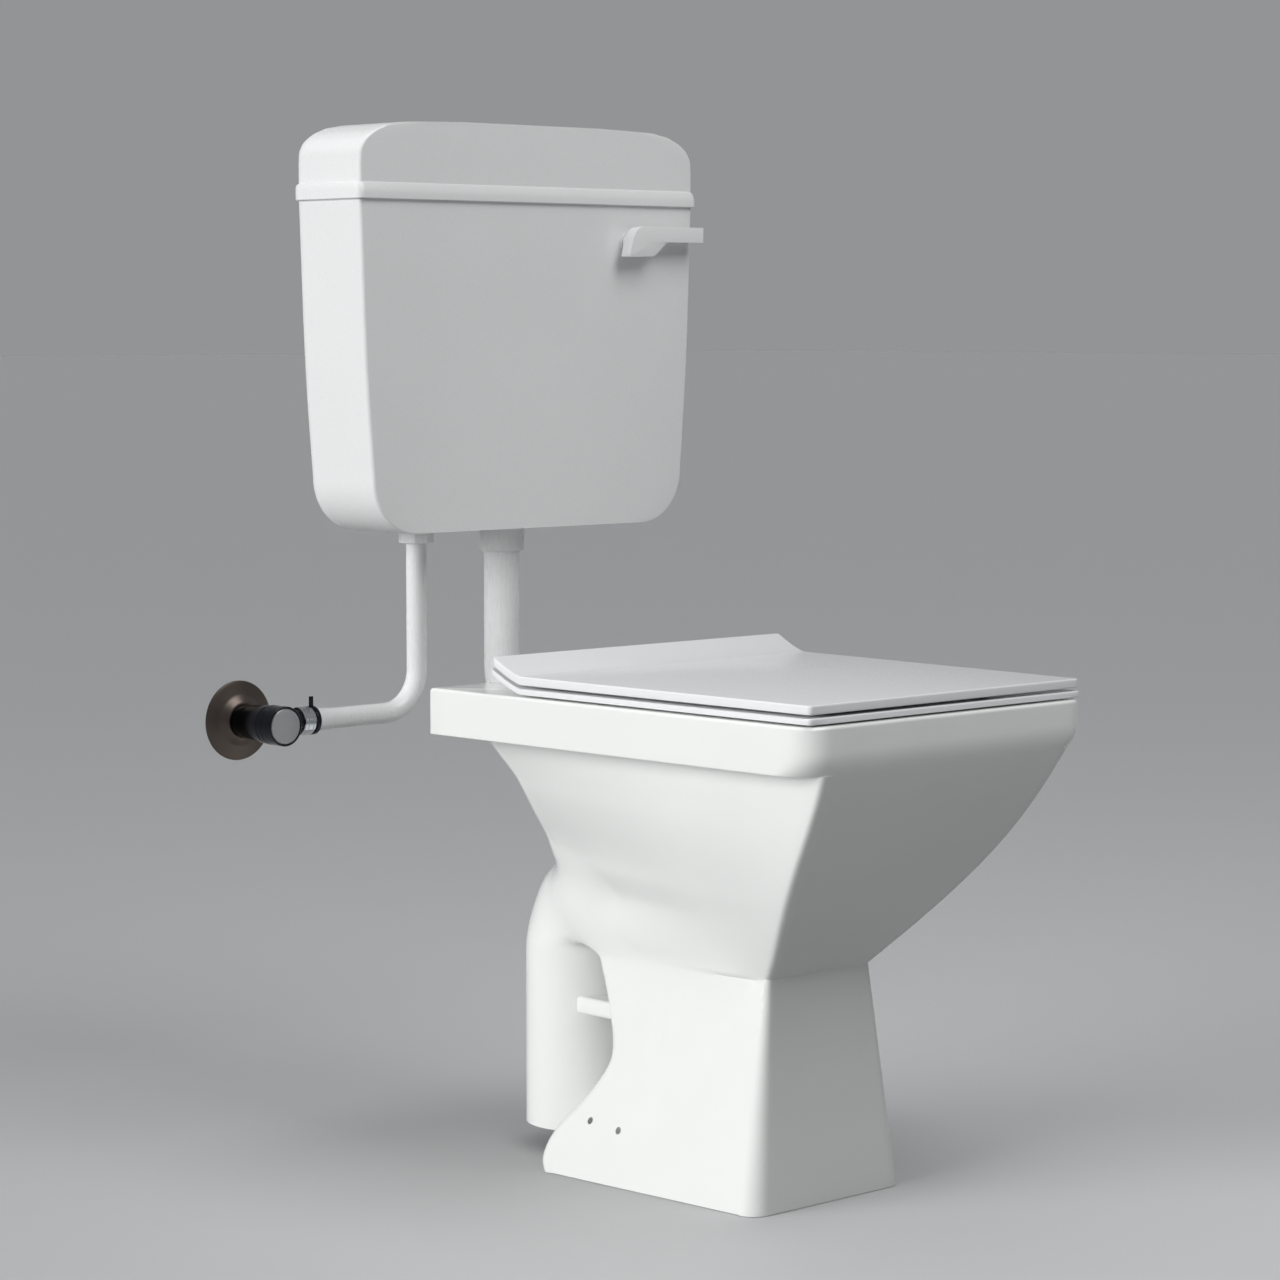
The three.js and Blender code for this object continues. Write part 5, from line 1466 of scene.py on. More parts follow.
@dataclass
class Seat:
    """The seat ring and its lid: thin sheets that sweep up together at the back."""

    front: float = 5.4
    back: float = 365.6
    front_half: float = 158.5
    back_half: float = 169.5
    seat_foot: float = 416.8
    seat_thickness: float = 5.2
    lid_foot: float = 424.6
    lid_thickness: float = 7.4
    lid_inset: float = 1.0
    sweep_start: float = 330.0
    sweep_rise: float = 15.3
    sweep_power: float = 1.3
    edge: float = 1.5
    edge_flat: float = 0.05
    plan_corner: float = 4.0
    # The hole's half-width, front, back and corner radii
    hole_half: float = 103.0
    hole_front: float = 50.0
    hole_back: float = 300.0
    hole_radii: tuple[float, float] = (84.0, 54.0)
    hole_edge: float = 2.0
    hole_run: float = 0.5
    # Hinges: the pin's place, the eyes on it and the arms that carry them
    hinge_y: float = 384.0
    hinge_z: float = 432.0
    knuckle: float = 8.5
    knuckle_length: float = 11.0
    knuckle_edge: float = 1.0
    arm_reach: float = 8.0
    arm_inset: float = 1.3
    arm_level: float = 0.8
    arm_past: float = 0.6
    seat_knuckle_x: float = 60.5
    lid_knuckle_x: float = 94.5
    pin_hole: float = 4.35
    pin_reach: float = 22.0

    def rise(self, y: Array) -> Array:
        """Height that the sheet gains towards its back edge: a power curve past the fold."""
        share = np.clip((y - self.sweep_start) / (self.back - self.sweep_start), 0, None)
        return self.sweep_rise * share**self.sweep_power

    def sheet(self, name: str, foot: float, thickness: float, inset: float) -> bpy.types.Object:
        """Sheet as cross-sections from front to back.

        Each section is a flat bar whose four corners are quarter rounds. Near each end the bar
        gets thinner and narrower along a quarter round, which rounds the end's edges and the
        sheet's corners in plan.

        Args:
            name: the object's name.
            foot: height of the underside.
            thickness: of the sheet.
            inset: how much smaller it is all round than the seat's outline.

        Returns:
            The linked object.
        """
        y0, y1 = self.front + inset, self.back - inset
        near, ends = quarter_round(self.plan_corner, 9)
        flat = np.linspace(y0 + self.plan_corner, self.sweep_start, 14)[1:]
        fold = np.linspace(self.sweep_start, y1 - self.plan_corner, 26)[1:]
        y = np.concatenate([y0 + near, flat, fold, (y1 - near)[::-1][1:]])
        pinch = np.concatenate([ends, np.zeros(len(flat) + len(fold)), ends[::-1][1:]])
        reach = np.clip(1 - np.minimum(y - y0, y1 - y) / self.edge, 0, 1)
        thin = self.edge * (1 - np.sqrt(np.clip(1 - reach**2, 0, 1)))
        along = (y - self.front) / (self.back - self.front)
        half = mix(self.front_half, self.back_half, along) - inset - pinch
        low, high = foot + self.rise(y) + thin, foot + thickness + self.rise(y) - thin
        radius = np.minimum(self.edge, (high - low) / 2 - self.edge_flat)
        quarters = []
        for start, sx, z_mid in ((-1, 1, low + radius), (0, 1, high - radius),
                                 (1, -1, high - radius), (2, -1, low + radius)):
            angle = start * QUARTER + np.linspace(0, QUARTER, 6)
            quarters.append(np.stack([
                sx * (half - radius)[:, None] + radius[:, None] * np.cos(angle),
                np.broadcast_to(y[:, None], (len(y), len(angle))),
                z_mid[:, None] + radius[:, None] * np.sin(angle),
            ], axis=-1))
        return loft(name, np.concatenate(quarters, axis=1))

    def knuckles(self, centre: float, foot: float, thickness: float) -> list[bpy.types.Object]:
        """Arms and eyes that carry a sheet on the hinge pins.

        Args:
            centre: distance of each eye from the middle.
            foot: height of the sheet's underside.
            thickness: of the sheet.

        Returns:
            The linked objects.
        """
        made = []
        half, eye = self.knuckle_length / 2, self.knuckle
        reach, z = self.back - self.arm_reach, foot + self.sweep_rise * self.arm_level
        side_view = np.array([
            (reach, z + self.arm_inset),
            (self.back + self.arm_past, z + self.arm_inset),
            (self.hinge_y, self.hinge_z - eye / 2),
            (self.hinge_y + eye / 2, self.hinge_z + eye / 2),
            (reach, z + thickness - self.arm_inset),
        ])
        for side in (-1, 1):
            x = side * centre
            profile = rounded([(0, -half), (eye, -half), (eye, half), (0, half)], self.knuckle_edge)
            place = (x, self.hinge_y, self.hinge_z)
            made.append(turned("eye", profile, place, Axis.X, 48))
            sides = [np.column_stack([np.full(5, at), side_view]) for at in (x - half, x + half)]
            made.append(loft("arm", np.stack(sides)))
        return made

    def pin_holes(self, centre: float) -> list[bpy.types.Object]:
        """Cutters for the hinge pins."""
        return [rod("pin_hole", self.pin_hole, -self.pin_reach, self.pin_reach,
                    (side * centre, self.hinge_y, self.hinge_z), Axis.X, 40)
                for side in (-1, 1)]

    def hole(self) -> bpy.types.Object:
        """Cutter for the seat's hole, flared by a quarter round at its top.

        Returns:
            The linked object.
        """
        top, edge = self.seat_foot + self.seat_thickness, self.hole_edge
        flare, drop = quarter_round(edge, 7)
        out = np.concatenate([[0.0, 0.0], flare, [edge]])
        straight = [self.seat_foot - OVERRUN, top - edge - self.hole_run]
        z = np.array([*straight, *(top - drop), top + OVERRUN])
        front_radius, back_radius = self.hole_radii
        plan = RoundedPlan(
            self.hole_half + out, self.hole_half + out, self.hole_front - out,
            self.hole_back + out, front_radius + out, back_radius + out, corner=24,
        )
        return loft("seat_hole", plan.at(z))

    def ring(self) -> None:
        """Makes the seat with its hole, whose edges are rounded over."""
        piece = self.sheet("seat_moulding", self.seat_foot, self.seat_thickness, 0)
        hole = self.hole()
        arms = self.knuckles(self.seat_knuckle_x, self.seat_foot, self.seat_thickness)
        shape_with(piece, arms, Cut.JOIN)
        shape_with(piece, [hole, *self.pin_holes(self.seat_knuckle_x)], Cut.REMOVE)
        dress(piece, "seat_ring", "seat_plastic", "seat")

    def lid(self) -> None:
        """Makes the lid, slightly smaller than the seat."""
        piece = self.sheet("lid_moulding", self.lid_foot, self.lid_thickness, self.lid_inset)
        arms = self.knuckles(self.lid_knuckle_x, self.lid_foot, self.lid_thickness)
        shape_with(piece, arms, Cut.JOIN)
        shape_with(piece, self.pin_holes(self.lid_knuckle_x), Cut.REMOVE)
        dress(piece, "seat_lid", "seat_plastic", "lid")

    def build(self) -> None:
        """Makes the seat and its lid."""
        self.ring()
        self.lid()


@dataclass
class Cistern:
    """The wall cistern: tank, lid and the lever on its front."""

    front: float = 503.0
    depth: float = 95.0
    foot: float = 541.0
    seam: float = 826.7
    top_half: float = 194.0
    mid_half: float = 187.0
    mid_z: float = 663.0
    low_half: float = 181.0
    corner: float = 47.0
    wall: float = 4.0
    front_edge: float = 3.0
    back_edge: float = 17.0
    # Lid: the neck that it sits over, its proud band, its crown as shares of height and width
    neck: float = 11.3
    band_proud: float = 3.5
    band_height: float = 14.5
    band_wall: float = 3.2
    lid_top: float = 894.5
    lid_wall: float = 3.5
    shoulder: float = 858.0
    crown_crowding: float = 1.8
    crown_shares: Outline = (
        (0, 1), (0.35, 0.99), (0.6, 0.95), (0.78, 0.885), (0.9, 0.8), (0.965, 0.67), (1, 0.42),
    )
    # The band's rings: inset of its sides, inset of its front, and height over the seam
    band_rings: tuple[tuple[float, float, float], ...] = (
        (0.7, 0.7, 0.0), (0.0, 0.0, 0.7), (0.0, 0.0, 1.0), (0.0, 0.0, 5.0), (0.0, 0.35, 7.5),
        (0.0, 1.1, 10.0), (0.5, 2.0, 12.4), (1.6, 2.6, 13.7), (3.3, 3.3, 14.5),
    )
    # Openings: outlet, inlet and lever
    outlet_y: float = 546.4
    outlet_hole: float = 17.0
    fill_x: float = -91.0
    fill_y: float = 556.0
    fill_hole: float = 8.3
    pivot_x: float = 112.0
    pivot_z: float = 794.0
    pivot_hole: float = 7.8
    # Lever: its face seen from the front, boss, spindle and bush
    lever_front: float = 484.5
    lever_thickness: float = 11.0
    lever_edge: float = 1.6
    lever_face: Outline = (
        (98.6, 781.6), (100.2, 780.5), (128, 781.4), (131, 782.3), (143.5, 792.6),
        (147.5, 794.4), (191, 794.4), (191, 808), (117, 808), (111.5, 806.8), (107.2, 803.6),
        (104.3, 798.5), (101.6, 791.0), (99.6, 785.0),
    )
    boss_radius: float = 7.0
    spindle_radius: float = 4.0
    spindle_end: float = 551.7
    spindle_edge: float = 0.5
    bush_flange: float = 1.4
    bush_radii: tuple[float, float, float] = (4.3, 7.5, 8.2)
    bush_length: float = 10.2
    bush_edge: float = 0.3

    @property
    def back(self) -> float:
        """Place of the wall face."""
        return self.front + self.depth

    @property
    def pivot(self) -> Place:
        """Place of the lever's axis."""
        return (self.pivot_x, 0, self.pivot_z)

    def plan(
        self, half: Array | float, inset: float, back_inset: float | None = None
    ) -> RoundedPlan:
        """Outline of the tank or lid, moved inwards by a wall.

        Args:
            half: half-widths of the outside.
            inset: thickness of the wall.
            back_inset: thickness at the back, where that is another.

        Returns:
            The plan, with corners that keep a least radius.
        """
        back_inset = inset if back_inset is None else back_inset
        return RoundedPlan(
            half - inset, half - inset, self.front + inset, self.back - back_inset,
            max(self.front_edge - inset, self.front_edge / 2),
            max(self.back_edge - inset, self.front_edge), corner=12,
        )

    def tank_rings(self, inset: float) -> Array:
        """Rings of the tank: quarter rounds at the bottom, then a smooth curve that opens.

        Args:
            inset: distance inwards from the outside.

        Returns:
            Levels by points by three.
        """
        turn = np.linspace(0, QUARTER, 26)
        radius = self.corner - inset
        start = self.foot + self.corner
        half = self.low_half - self.corner + radius * np.sin(turn) + inset
        up = np.linspace(start, self.seam - PLAY, 30)[1:]
        sides = [(start, self.low_half), (self.mid_z, self.mid_half), (self.seam, self.top_half)]
        half = np.concatenate([half, hermite(sides, up)])
        return self.plan(half, inset).at(np.concatenate([start - radius * np.cos(turn), up]))

    def tank(self) -> None:
        """Makes the tank, open at the top, with a neck inside the lid's band."""
        neck_back = self.band_wall + PLAY
        ceiling = self.seam + self.neck
        neck = self.plan(self.top_half, 0, neck_back).at((self.seam - PLAY, ceiling))
        piece = loft("tank_moulding", np.concatenate([self.tank_rings(0), neck]))
        top = self.plan(self.top_half, self.wall, neck_back + self.wall / 2)
        mouth = top.at((self.seam - self.wall, ceiling + OVERRUN))
        hollow = loft("tank_hollow", np.concatenate([self.tank_rings(self.wall)[:-1], mouth]))
        through = self.wall + OVERRUN
        holes = [
            rod("outlet_hole", self.outlet_hole, self.foot - OVERRUN, self.foot + through,
                (0, self.outlet_y, 0)),
            rod("inlet_hole", self.fill_hole, self.foot - OVERRUN, self.foot + through,
                (self.fill_x, self.fill_y, 0)),
            rod("lever_hole", self.pivot_hole, self.front - OVERRUN, self.front + through,
                self.pivot, Axis.Y),
        ]
        shape_with(piece, [hollow, *holes], Cut.REMOVE)
        dress(piece, "cistern_tank", "tank_plastic")

    def crown_rings(self, inset: float) -> Array:
        """Rings of the lid from its shoulder, rounding over to a nearly flat top.

        Args:
            inset: distance inwards from the outside.

        Returns:
            Levels by points by three, closer together towards the top.
        """
        t = 1 - (1 - np.linspace(0, 1, 34)) ** self.crown_crowding
        half = self.top_half * hermite(self.crown_shares, t)
        return self.plan(half, inset).at(mix(self.shoulder, self.lid_top - inset, t))

    def lid(self) -> None:
        """Makes the lid with its proud band."""
        foot = self.plan(self.top_half, 0).at([self.seam + self.band_height / 2])
        piece = loft("cistern_lid_moulding", np.concatenate([foot, self.crown_rings(0)]))
        half = self.top_half + self.band_proud
        side_in, front_in, lift = np.array(self.band_rings).T
        band = RoundedPlan(
            half - side_in, half - side_in, self.front - self.band_proud + front_in,
            self.back, self.front_edge + self.band_proud, self.back_edge,
        )
        shape_with(piece, [loft("band", band.at(self.seam + lift))], Cut.JOIN)
        start = self.plan(self.top_half, self.lid_wall).at([self.seam - OVERRUN])
        inside = np.concatenate([start, self.crown_rings(self.lid_wall)])
        neck = RoundedPlan(
            half - self.band_wall, half - self.band_wall, self.front - PLAY,
            self.back - self.band_wall, self.front_edge, self.back_edge,
        ).at((self.seam - OVERRUN, self.seam + self.neck + PLAY))
        hollows = [loft("lid_hollow", inside), loft("neck_seat", neck)]
        shape_with(piece, hollows, Cut.REMOVE)
        dress(piece, "cistern_lid", "tank_plastic", "cistern_cover")

    def lever(self) -> None:
        """Makes the lever: a straight handle with a deeper hub that leans, boss and spindle."""
        back = self.lever_front + self.lever_thickness
        face = np.array(self.lever_face)
        plates = [np.insert(face, 1, y, axis=1) for y in (self.lever_front, back)]
        plate = loft("lever_moulding", np.stack(plates))
        ease(plate, self.lever_edge, 4)
        boss_end = self.front - self.bush_flange - PLAY * 4
        boss = rod("boss", self.boss_radius, back - OVERLAP, boss_end, self.pivot, Axis.Y, 48)
        radius, end, edge = self.spindle_radius, self.spindle_end, self.spindle_edge
        profile = [(0, back - OVERLAP), (radius, back - OVERLAP), (radius, end - edge),
                   (radius - edge, end), (0, end)]
        spindle = turned("spindle", profile, self.pivot, Axis.Y, 40)
        shape_with(plate, [boss, spindle], Cut.JOIN)
        dress(plate, "flush_lever", "tank_plastic", "lever")

    def bush(self) -> None:
        """Makes the lever's bush: a thin flange on the tank's face and a shank through it."""
        bore, shank, flange = self.bush_radii
        face, inner = self.front - PLAY, self.front + self.bush_length
        outer = face - self.bush_flange
        profile = rounded([(bore, outer), (flange, outer), (flange, face), (shank, face),
                           (shank, inner), (bore, inner)], self.bush_edge)
        piece = turned("lever_bush_moulding", profile, self.pivot, Axis.Y, 48, closed=True)
        dress(piece, "lever_bush", "tank_plastic")

    def build(self) -> None:
        """Makes the tank, its lid, the lever and its bush."""
        self.tank()
        self.lid()
        self.lever()
        self.bush()


@dataclass
class Pipework:
    """Flush pipe, inlet pipe, their nuts and the angle valve."""

    pan: Pan
    cistern: Cistern
    flush_radius: float = 16.0
    flush_wall: float = 2.0
    flush_bend: float = 50.0
    flush_end: float = 408.0
    pipe_top: float = 522.4
    collar_radius: float = 16.7
    collar_height: float = 2.0
    flush_nut_height: float = 22.0
    # The nut's outside over its foot, and the connector's past the pan's face
    flush_nut_outline: Outline = (
        (17.6, 0.0), (19.3, 1.3), (19.6, 1.8), (20.6, 20.9), (20.4, 21.7), (19.8, 22.0),
    )
    connector_outline: Outline = (
        (20.7, -22.0), (20.7, 0.0), (26.2, 0.0), (27.0, 0.8), (26.4, 2.2), (23.5, 3.2),
        (21.5, 5.0), (17.4, 5.0),
    )
    # Inlet pipe, its nut under the tank, and the socket with its clamp
    inlet_radius: float = 9.0
    inlet_wall: float = 1.6
    inlet_bend: float = 37.0
    inlet_top: float = 531.7
    inlet_nut_radius: float = 15.6
    inlet_nut_height: float = 11.6
    inlet_nut_edge: float = 0.9
    run_z: float = 381.0
    run_end: float = -212.0
    flare: float = 10.6
    flare_length: float = 30.0
    clamp_radii: tuple[float, float] = (10.9, 12.6)
    clamp_reach: tuple[float, float] = (1.0, 5.0)
    clamp_edge: float = 0.5
    ear_heights: tuple[float, float] = (11.0, 20.6)
    ear_half: float = 0.8
    ear_edge: float = 0.35
    # Angle valve: its axis, face, radii from the knob to the wall, and its outlet
    valve_x: float = -256.0
    face_y: float = 530.0
    head_radius: float = 17.0
    neck_radius: float = 14.0
    knob_length: float = 14.0
    knob_spindle: tuple[float, float] = (3.0, 9.0)
    knob_rim: float = 1.4
    cap_thickness: float = 1.5
    dish_radius: float = 34.4
    dish_depth: float = 9.0
    dish_bend: float = 2.0
    outlet_radius: float = 10.4
    outlet_length: float = 15.0
    waterway: float = 5.0
    gland: float = 3.3
    # The outlet nut's outline with its two grooves, from its end at the valve
    outlet_nut_length: float = 12.0
    outlet_nut_outline: Outline = (
        (10.7, 0.0), (11.8, 0.0), (12.4, 0.6), (12.4, 3.4), (11.9, 3.9), (12.4, 4.4),
        (12.4, 8.6), (11.9, 9.1), (12.4, 9.6), (12.4, 11.4), (11.8, 12.0), (10.7, 12.0),
    )

    @property
    def valve(self) -> Place:
        """Place of the valve's axis, which runs along Y."""
        return (self.valve_x, 0, self.run_z)

    @property
    def run(self) -> Place:
        """Place of the inlet's level run, which is along X."""
        return (0, self.cistern.fill_y, self.run_z)

    @property
    def drop(self) -> Place:
        """Place of the inlet's upright pipe."""
        return (self.cistern.fill_x, self.cistern.fill_y, 0)

    def flush_pipe(self) -> None:
        """Makes the pipe from the tank down and forward into the pan, with its collar."""
        y, z, top = self.cistern.outlet_y, self.pan.inlet_z, self.pipe_top
        path = bend_path([(0, y, top), (0, y, z), (0, self.flush_end, z)], self.flush_bend)
        bore = self.flush_radius - self.flush_wall
        piece = tube("flush_pipe_extrusion", path, self.flush_radius, bore)
        foot, inner = top - self.collar_height, bore + self.flush_wall / 2
        ring = [(inner, foot), (self.collar_radius, foot), (self.collar_radius, top), (inner, top)]
        shape_with(piece, [turned("collar", ring, (0, y, 0), closed=True)], Cut.JOIN)
        dress(piece, "flush_pipe", "pipe_plastic")

    def coupling_nut(self) -> None:
        """Makes the flush pipe's nut: smooth, a little wider at its top, with a bevelled foot."""
        top = self.cistern.foot - PLAY
        foot = top - self.flush_nut_height
        shoulder = self.pipe_top - self.collar_height - PLAY
        seat, bore = self.collar_radius + PLAY, self.flush_radius + PLAY
        profile = [*shifted(self.flush_nut_outline, foot), (seat, top), (seat, shoulder),
                   (bore, shoulder), (bore, foot)]
        piece = turned("flush_nut_moulding", profile, (0, self.cistern.outlet_y, 0), sides=120,
                       closed=True)
        dress(piece, "flush_coupling_nut", "pipe_plastic")

    def inlet_pipe(self) -> None:
        """Makes the inlet pipe, which widens to a socket at the valve."""
        x, y, z = self.cistern.fill_x, self.cistern.fill_y, self.run_z
        path = bend_path([(x, y, self.inlet_top), (x, y, z), (self.run_end, y, z)], self.inlet_bend)
        extra = np.linspace(path[-2], path[-1], 16)[1:-1]
        path = np.concatenate([path[:-1], extra, path[-1:]])
        end = self.run_end + self.flare_length
        swell = ease_in_out(-path[:, 0], -end, -self.run_end) * (self.flare - self.inlet_radius)
        swell = np.where(np.abs(path[:, 2] - z) < 0.01, swell, 0.0)
        bore = self.inlet_radius - self.inlet_wall
        piece = tube("inlet_pipe_extrusion", path, self.inlet_radius + swell, bore + swell / 2,
                     sides=40, side=(0.0, 1.0, 0.0))
        dress(piece, "inlet_pipe", "pipe_plastic")

    def wall_flange(self) -> None:
        """Makes the dished flange on the wall, spun from sheet."""
        back, front = self.cistern.back, self.cistern.back - self.dish_depth
        neck, rim = self.neck_radius, self.dish_radius
        profile = rounded([
            (neck - 0.6, back), (neck - 0.6, front), (neck + 2.0, front),
            (neck + 8.0, front + 4.2), (rim - 2.0, back - 1.9), (rim, back - 1.2), (rim, back),
        ], self.dish_bend)
        piece = turned("valve_flange_dish", profile, self.valve, Axis.Y, 96, closed=True)
        # The flange's dark warm colour is a painted reflection of the room, not the steel's own
        dress(piece, "valve_wall_flange", "satin_steel", angle=50)

    def knob(self) -> None:
        """Makes the knob, plated dark, with a shallow seat in its face and a thin rim round it."""
        face, back, r = self.face_y, self.face_y + self.knob_length, self.head_radius
        seat, inner = face + self.cap_thickness + PLAY, r - self.knob_rim
        spindle, length = self.knob_spindle
        profile = [(0, seat), (inner, seat), (inner, face + 0.2), (inner + 0.2, face),
                   (r - 0.5, face), (r, face + 0.5), (r, back - 0.5), (r - 0.5, back),
                   (spindle, back), (spindle, back + length), (0, back + length)]
        piece = turned("stop_knob", profile, self.valve, Axis.Y, 72)
        dress(piece, "valve_knob", "dark_chrome", "stop_knob", 24)

    def knob_cap(self) -> None:
        """Makes the satin disc in the knob's face, a little proud at its middle."""
        face, back = self.face_y, self.face_y + self.cap_thickness
        r = self.head_radius - self.knob_rim - PLAY
        profile = [(0, face), (r - 4.0, face), (r - 0.6, face + 0.15), (r, face + 0.7),
                   (r, back), (0, back)]
        piece = turned("stop_knob_disc", profile, self.valve, Axis.Y, 72)
        dress(piece, "valve_knob_cap", "satin_steel", "stop_knob", 24, SATIN_CHROME)

    def valve_body(self) -> None:
        """Makes the valve's body, narrowing to the wall, with its side outlet."""
        wall, fill_y, x = self.cistern.back, self.cistern.fill_y, self.valve_x
        front = self.face_y + self.knob_length + PLAY
        back = wall - self.dish_depth - PLAY
        r0, r1 = self.head_radius, self.neck_radius
        tail = r1 - 0.9
        profile = [(0, front), (r0 - 0.6, front), (r0, front + 0.6), (r0, front + 5.0),
                   (r0 - 0.9, front + 5.7), (r0 - 0.9, front + 6.9), (r0 - 0.3, front + 7.6),
                   (r1, back), (tail, back), (tail, wall), (0, wall)]
        piece = turned("angle_valve_plating", profile, self.valve, Axis.Y, 72)
        end, radius = x + r0 + self.outlet_length, self.outlet_radius
        stub = [(0, x + 8), (radius, x + 8), (radius, end - 0.5), (radius - 0.5, end), (0, end)]
        shape_with(piece, [turned("outlet", stub, self.run, Axis.X, 48)], Cut.JOIN)
        bores = [
            rod("waterway", self.waterway, x, end + OVERRUN, self.run, Axis.X, 32),
            rod("supply", self.waterway, fill_y, wall + OVERRUN, self.valve, Axis.Y, 32),
            rod("gland", self.gland, front - OVERRUN, fill_y, self.valve, Axis.Y, 32),
        ]
        shape_with(piece, bores, Cut.REMOVE)
        dress(piece, "angle_valve_body", "dark_chrome", angle=28)

    def outlet_nut(self) -> None:
        """Makes the bright nut between the valve and the pipe, with two turned grooves."""
        start = self.run_end - PLAY - self.outlet_nut_length
        profile = shifted(self.outlet_nut_outline, start)
        piece = turned("outlet_nut_plating", profile, self.run, Axis.X, 64, closed=True)
        dress(piece, "valve_outlet_nut", "chrome", angle=30)

    def clamp(self) -> None:
        """Makes the dark ring clamp round the pipe's socket, with its two-leaf ear."""
        start, end = (self.run_end + reach for reach in self.clamp_reach)
        inner, outer = self.clamp_radii
        band = [(inner, start), (outer, start), (outer, end), (inner, end)]
        band = rounded(band, self.clamp_edge)
        hoop = turned("inlet_clamp_band", band, self.run, Axis.X, 64, closed=True)
        y, half = self.cistern.fill_y, self.ear_half
        foot, top = (self.run_z + height for height in self.ear_heights)
        ear = block("ear", (start, y - half, foot), (end, y + half, top), self.ear_edge)
        shape_with(hoop, [ear], Cut.JOIN)
        dress(hoop, "inlet_clamp", "dark_chrome", angle=30)

    def inlet_nut(self) -> None:
        """Makes the inlet's wing-less nut, eight-sided with eased corners."""
        top = self.cistern.foot - PLAY
        foot = top - self.inlet_nut_height
        piece = rod("inlet_nut_moulding", self.inlet_nut_radius, foot, top, self.drop, sides=8)
        ease(piece, self.inlet_nut_edge)
        bores = [
            rod("pipe_way", self.inlet_radius + PLAY, foot - OVERRUN, foot + OVERRUN + OVERLAP,
                self.drop, sides=40),
            rod("shank_way", self.cistern.fill_hole, foot + OVERLAP, top + OVERRUN,
                self.drop, sides=40),
        ]
        shape_with(piece, bores, Cut.REMOVE)
        dress(piece, "inlet_nut", "pipe_plastic")

    def connector(self) -> None:
        """Makes the rubber connector, with a rolled lip round the pipe."""
        face, bore = self.pan.length + PLAY, self.flush_radius + PLAY
        outside = shifted(self.connector_outline, face)
        profile = [(bore, outside[0][1]), *outside, (bore, outside[-1][1] - 1)]
        piece = turned("flush_connector_rubber", profile, (0, 0, self.pan.inlet_z), Axis.Y,
                       closed=True)
        dress(piece, "flush_connector", "seal_rubber", angle=40)

    def build(self) -> None:
        """Makes every piece of the pipework."""
        for make in (self.flush_pipe, self.coupling_nut, self.inlet_pipe, self.wall_flange,
                     self.knob, self.knob_cap, self.valve_body, self.outlet_nut, self.clamp,
                     self.inlet_nut, self.connector):
            make()


@dataclass
class Fittings:
    """Hinges, bumpers and the valves inside the cistern, finished from their CAD solids."""

    frame: dict
    edge: float = 0.4
    merge: float = 0.002
    flat: float = math.radians(2)
    # Nodes that the classes above make anew
    renewed: tuple[str, ...] = (
        "pan_body", "seat_ring", "seat_lid", "cistern_tank", "cistern_lid", "flush_lever",
        "lever_bush", "flush_pipe", "flush_coupling_nut", "inlet_pipe", "valve_wall_flange",
        "valve_knob", "valve_knob_cap", "angle_valve_body", "valve_outlet_nut", "inlet_clamp",
        "inlet_nut", "flush_connector",
    )

    def build(self) -> None:
        """Finishes every other node of the frame."""
        record = self.frame["record"]
        slots = {s["node"]: s["material_slot"] for s in record["subparts"]}
        bodies = {n: b for b, ns in record["behaviour"]["bodies"].items() for n in ns}
        for name, node in self.frame["nodes"].items():
            if name not in self.renewed:
                dress(self.refined(name, node), name, slots[name], bodies[name], 30)

    def refined(self, name: str, node: bpy.types.Object) -> bpy.types.Object:
        """Copies a node's solid, merged, with its edges eased.

        Args:
            name: the node's name.
            node: the node, which stays as it is.

        Returns:
            The linked copy, with its place in its mesh.
        """
        mesh = node.data.copy()
        piece = add_object(f"{name}_finish", mesh)
        mesh.transform(node.matrix_world)
        shape = bmesh.new()
        shape.from_mesh(mesh)
        bmesh.ops.remove_doubles(shape, verts=shape.verts, dist=self.merge * MM)
        bmesh.ops.dissolve_limit(
            shape, angle_limit=self.flat, verts=shape.verts, edges=shape.edges
        )
        shape.to_mesh(mesh)
        shape.free()
        ease(piece, self.edge, 2)
        return piece


